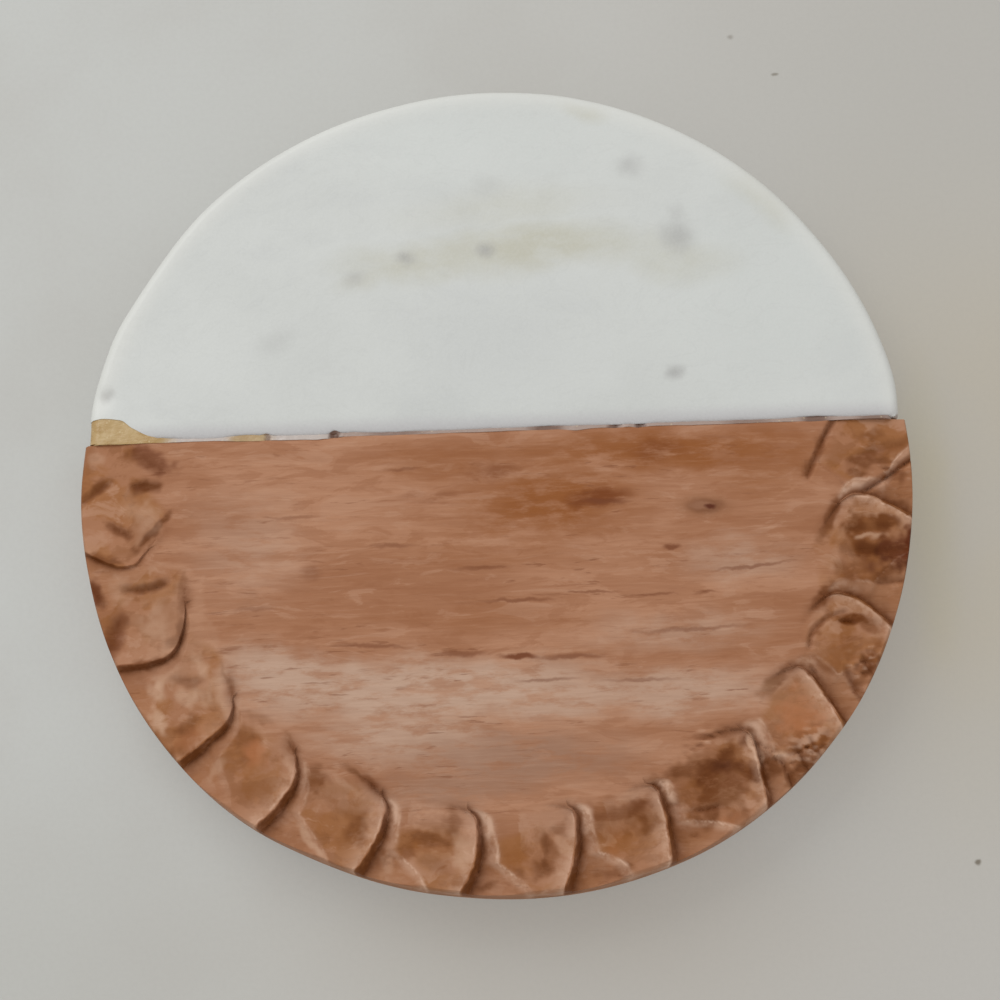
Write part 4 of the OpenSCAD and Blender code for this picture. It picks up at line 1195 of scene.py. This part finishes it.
def marble_material():
    n = Net("white_marble")
    p = n.shift(0.03, 12, 3)
    cloud = n.noise(p, 0.045, 4)
    colour = n.mix(n.span(cloud, 0.36, 0.64), rgb(202, 204, 200), rgb(208, 210, 206))
    drift = n.noise(p, (0.05, 0.11, 0.1), 5, 0.6, 0.8, turn=12, place=(4, 0, 0))
    colour = n.tint(colour, (192, 194, 192), drift, 0.5, 0.72, 0.3)
    broad = n.shift(0.05, 12)
    colour = n.mix(n.spots(broad, [(1, 17, 20, 12, 0, 0.1, 0.7)]), colour, rgb(199, 201, 198))
    outer = n.math("MAXIMUM", n.spot(broad, 34, 22, 22, 18, 0, 0.1), n.spot(n.mm, 0, 42, 30, 10, 0, 0.1))
    colour = n.mix(n.times(outer, 0.7), colour, rgb(208, 211, 207))
    vein = n.span(n.noise(n.mm, (0.16, 0.34, 0.3), 5, 0.6, turn=8), 0.3, 0.6, 0.6, 1)
    beige = n.times(n.spots(n.shift(0.09, 6, 3), MARBLE_BEIGE), vein)
    colour = n.mix(beige, colour, rgb(192, 190, 174))
    colour = n.mix(n.spots(n.shift(0.5, 1.2, 3), MARBLE_GREY), colour, rgb(160, 159, 156))
    # thin veins that hardly show
    lines = n.noise(p, (0.1, 0.2, 0.2), 6, 0.55, 1.4, turn=-24)
    off = n.math("ABSOLUTE", n.math("SUBTRACT", lines, 0.5))
    colour = n.tint(colour, (184, 185, 182), off, 0.022, 0, 0.1)
    # the rubbed edge along the seam picks up a little of the glue and dust
    colour = n.tint(colour, (186, 183, 184), n.part(n.mm, 1), SEAM_Y + 2.6, SEAM_Y + 0.4, 0.75)
    # the rounded rim is painted a little paler, a painted highlight that makes up for the shade on its
    # rounding
    colour = n.tint(colour, (224, 223, 216), n.reach(), MARBLE_R - 3.4, MARBLE_R - 0.4, 0.4)
    grain = n.noise(n.mm, 3.2, 4, 0.7)
    colour = n.tint(colour, (226, 228, 225), grain, 0.35, 0.65, 0.1)
    swirl = n.noise(n.mm, 0.35, 4, 0.6)
    height = n.math("ADD", n.times(grain, 0.35), swirl)
    gloss = n.span(n.math("ADD", swirl, cloud), 0.7, 1.3, 0.34, 0.48, "LINEAR")
    return n.done(Base_Color=colour, Roughness=gloss, Normal=n.relief(height, 0.05), Specular_IOR_Level=0.42)


def epoxy_material():
    n = Net("amber_epoxy")
    cloud = n.noise(n.mm, 0.35, 5, 0.6, 0.5)
    streak = n.noise(n.mm, (0.4, 1.6, 1), 3, 0.6)
    colour = n.mix(n.span(cloud, 0.36, 0.64), rgb(173, 140, 88), rgb(188, 160, 112))
    colour = n.tint(colour, (158, 128, 84), streak, 0.52, 0.7, 0.4)
    # past the broken corner the thin line is pale with marble dust, but for one more amber stretch
    thin = n.shift(0.4, 1.6)
    seam = SEAM_Y - DISC_Y
    amber = n.spots(thin, [(-45, 7.4, 8.5, 6, 0, 0.6, 1), (-29.4, seam, 3.4, 3, 0, 0.4, 0.85)])
    colour = n.mix(n.math("SUBTRACT", 1, amber), colour, rgb(192, 180, 172))
    colour = n.tint(colour, (146, 114, 98), n.part(thin, 0), -20, -18, 0.6)
    # dirt and painted shade darken the glue line's hollows
    hollows = [(x, seam, half, 1.6, 0, 0.3, strength) for x, half, strength in SEAM_DIRT_AND_SHADE]
    colour = n.mix(n.spots(n.shift(1.2, 0.8), hollows), colour, rgb(100, 66, 48))
    colour = n.tint(colour, (220, 204, 164), n.cells(1.3), 0.16, 0.1, 0.35)
    height = n.math("ADD", n.noise(n.mm, 0.9), n.times(streak, 0.4))
    gloss = n.span(cloud, 0.35, 0.65, 0.22, 0.36, "LINEAR")
    return n.done(Base_Color=colour, Roughness=gloss, Normal=n.relief(height, 0.12), Specular_IOR_Level=0.5)


def steel_material():
    n = Net("drawn_steel")
    drawn = n.noise(n.mm, (6, 0.15, 6), 4, 0.6)
    colour = n.mix(n.span(drawn, 0.3, 0.7), rgb(176, 178, 182), rgb(206, 208, 212))
    colour = n.tint(colour, (150, 140, 128), n.noise(n.mm, 0.5), 0.55, 0.75, 0.3)
    gloss = n.span(drawn, 0.3, 0.7, 0.28, 0.42, "LINEAR")
    return n.done(Base_Color=colour, Metallic=1, Roughness=gloss, Normal=n.relief(drawn, 0.01))


def rubber_material():
    n = Net("black_rubber")
    grain = n.noise(n.mm, 5, 4, 0.7)
    dust = n.noise(n.mm, 0.6, 4, 0.6)
    colour = n.mix(n.span(dust, 0.48, 0.74, 0, 0.5), rgb(38, 38, 40), rgb(74, 72, 70))
    colour = n.tint(colour, (26, 26, 28), grain, 0.3, 0.7, 0.25)
    gloss = n.span(dust, 0.4, 0.7, 0.62, 0.8, "LINEAR")
    return n.done(Base_Color=colour, Roughness=gloss, Normal=n.relief(grain, 0.03), Specular_IOR_Level=0.35)


def adhesive_material():
    n = Net("acrylic_adhesive")
    bubble = n.cells(0.9)
    cloud = n.noise(n.mm, 0.7, 4, 0.6)
    colour = n.mix(n.span(cloud, 0.36, 0.64), rgb(206, 204, 196), rgb(220, 219, 214))
    colour = n.tint(colour, (186, 182, 170), bubble, 0.3, 0.18, 0.5)
    gloss = n.span(cloud, 0.35, 0.65, 0.42, 0.56, "LINEAR")
    return n.done(Base_Color=colour, Roughness=gloss, Normal=n.relief(bubble, 0.04))


def floor_material():
    n = Net("pale_table")
    # painted light: the table is paler on the left, towards the light, and darker and warmer to the right
    soft = n.span(n.noise(n.mm, 0.012), 0.3, 0.7, -14, 14, "LINEAR")
    across = n.math("ADD", n.part(n.mm, 0), soft)
    colour = n.mix(n.span(across, -70, 75), rgb(197, 198, 194), rgb(188, 185, 179))
    # painted shadow of the coaster to its right and below it, darker corners, and a painted glow of warm
    # light thrown off the wood just right of the coaster
    wide = n.shift(0.02, 16)
    for tone, field, places in (
            ((184, 176, 160), wide, [(60, -2, 42, 60, 0, 0.1, 0.85)]),
            ((180, 173, 163), n.shift(0.03, 10), [(4, -56, 62, 24, 0, 0.1, 0.6)]),
            ((180, 178, 171), wide, TABLE_CORNERS),
            ((186, 176, 142), n.mm, [(52.5, -4, 5, 24, 0, 0.1, 0.5)])):
        colour = n.mix(n.spots(field, places), colour, rgb(*tone))
    colour = n.tint(colour, (184, 181, 175), n.noise(n.mm, 0.03, 4), 0.4, 0.66, 0.35)
    fine = n.noise(n.mm, 1.6, 4, 0.65)
    colour = n.tint(colour, (160, 158, 152), fine, 0.35, 0.7, 0.06)
    colour = n.mix(n.spots(n.shift(1.2, 0.4), CRUMBS), colour, rgb(108, 98, 82))
    # the picture sees part of the plain colour itself, so that the table is as pale as it should be
    plain = n.node("Emission", {"Color": colour}).outputs[0]
    rays = n.node("LightPath", {}).outputs
    seen = n.math("MAXIMUM", rays["Is Glossy Ray"], rays["Is Transmission Ray"])
    seen = n.math("MAXIMUM", seen, rays["Is Camera Ray"])
    both = n.node("MixShader", {0: n.times(seen, PLAIN_SHARE), 1: n.shader.outputs[0], 2: plain})
    n.put(n.out, 0, both.outputs[0])
    return n.done(Base_Color=colour, Roughness=0.62, Specular_IOR_Level=0.25, Normal=n.relief(fine, 0.02))


def dress(obj, material):
    obj.data.materials.clear()
    obj.data.materials.append(material)


dress(wood, wood_material())
dress(marble, marble_material())
dress(epoxy, epoxy_material())
for piece, node, slot in ((wood, "wood_segment", "carved_wood"), (marble, "marble_segment", "marble"),
                          (epoxy, "epoxy_seam", "epoxy")):
    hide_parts(node)
    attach(piece, "root")

steel, rubber, adhesive = steel_material(), rubber_material(), adhesive_material()
for name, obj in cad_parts.items():
    if name.startswith("seam_dowel"):
        dress(obj, steel)
    elif name.startswith("foot_adhesive"):
        dress(obj, adhesive)
    elif name.startswith("foot_"):
        dress(obj, rubber)

# Floor, light and camera
# The floor lies just clear of the feet, so that no two faces share a plane
FLOOR_HALF, FLOOR_Z = 1.6, -0.02 * MM
floor_mesh = bpy.data.meshes.new("floor")
floor_corners = [(x * FLOOR_HALF, y * FLOOR_HALF, FLOOR_Z) for x, y in ((-1, -1), (1, -1), (1, 1), (-1, 1))]
floor_mesh.from_pydata(floor_corners, [], [(0, 1, 2, 3)])
floor = add_object("floor", floor_mesh)
dress(floor, floor_material())

# A square lamp aimed at the coaster, which gives LAMP_SHARE of the light on its top
LAMP_AZIMUTH, LAMP_ELEVATION = math.radians(128), math.radians(44)
LAMP_DISTANCE, LAMP_SIZE, LAMP_SHARE = 0.8, 0.6, 0.27
rise, flat = math.sin(LAMP_ELEVATION), math.cos(LAMP_ELEVATION)
lamp_data = bpy.data.lights.new("key", "AREA")
lamp_data.shape = "SQUARE"
lamp_data.size = LAMP_SIZE
lamp_data.energy = LAMP_SHARE * math.pi ** 2 * LAMP_DISTANCE ** 2 / rise
lamp = add_object("key", lamp_data)
lamp.location = Vector((flat * math.cos(LAMP_AZIMUTH), flat * math.sin(LAMP_AZIMUTH), rise)) * LAMP_DISTANCE
lamp.rotation_euler = (-lamp.location).to_track_quat("-Z", "Y").to_euler()

AMBIENT = 0.7
world = bpy.data.worlds.new("studio")
world.use_nodes = True
sky = world.node_tree.nodes["Background"]
sky.inputs["Color"].default_value = (1, 1, 1, 1)
sky.inputs["Strength"].default_value = AMBIENT
bpy.context.scene.world = world

CAMERA_AIM = Vector((0.24, -2.81, 9.8)) * MM
CAMERA_DISTANCE = 0.3
CAMERA_TILT = math.radians(14.37)
CAMERA_ROLL = math.radians(-1.97)
camera_data = bpy.data.cameras.new("camera")
camera_data.lens = 91.21
camera_data.sensor_width = 36
camera_data.clip_start = 0.01
camera = add_object("camera", camera_data)
back = Vector((0, -math.sin(CAMERA_TILT), math.cos(CAMERA_TILT)))
camera.location = CAMERA_AIM + back * CAMERA_DISTANCE
turn = Euler((CAMERA_TILT, 0, 0)).to_matrix() @ Euler((0, 0, CAMERA_ROLL)).to_matrix()
camera.rotation_euler = turn.to_euler()
bpy.context.scene.camera = camera

bpy.context.scene.view_settings.view_transform = "Standard"
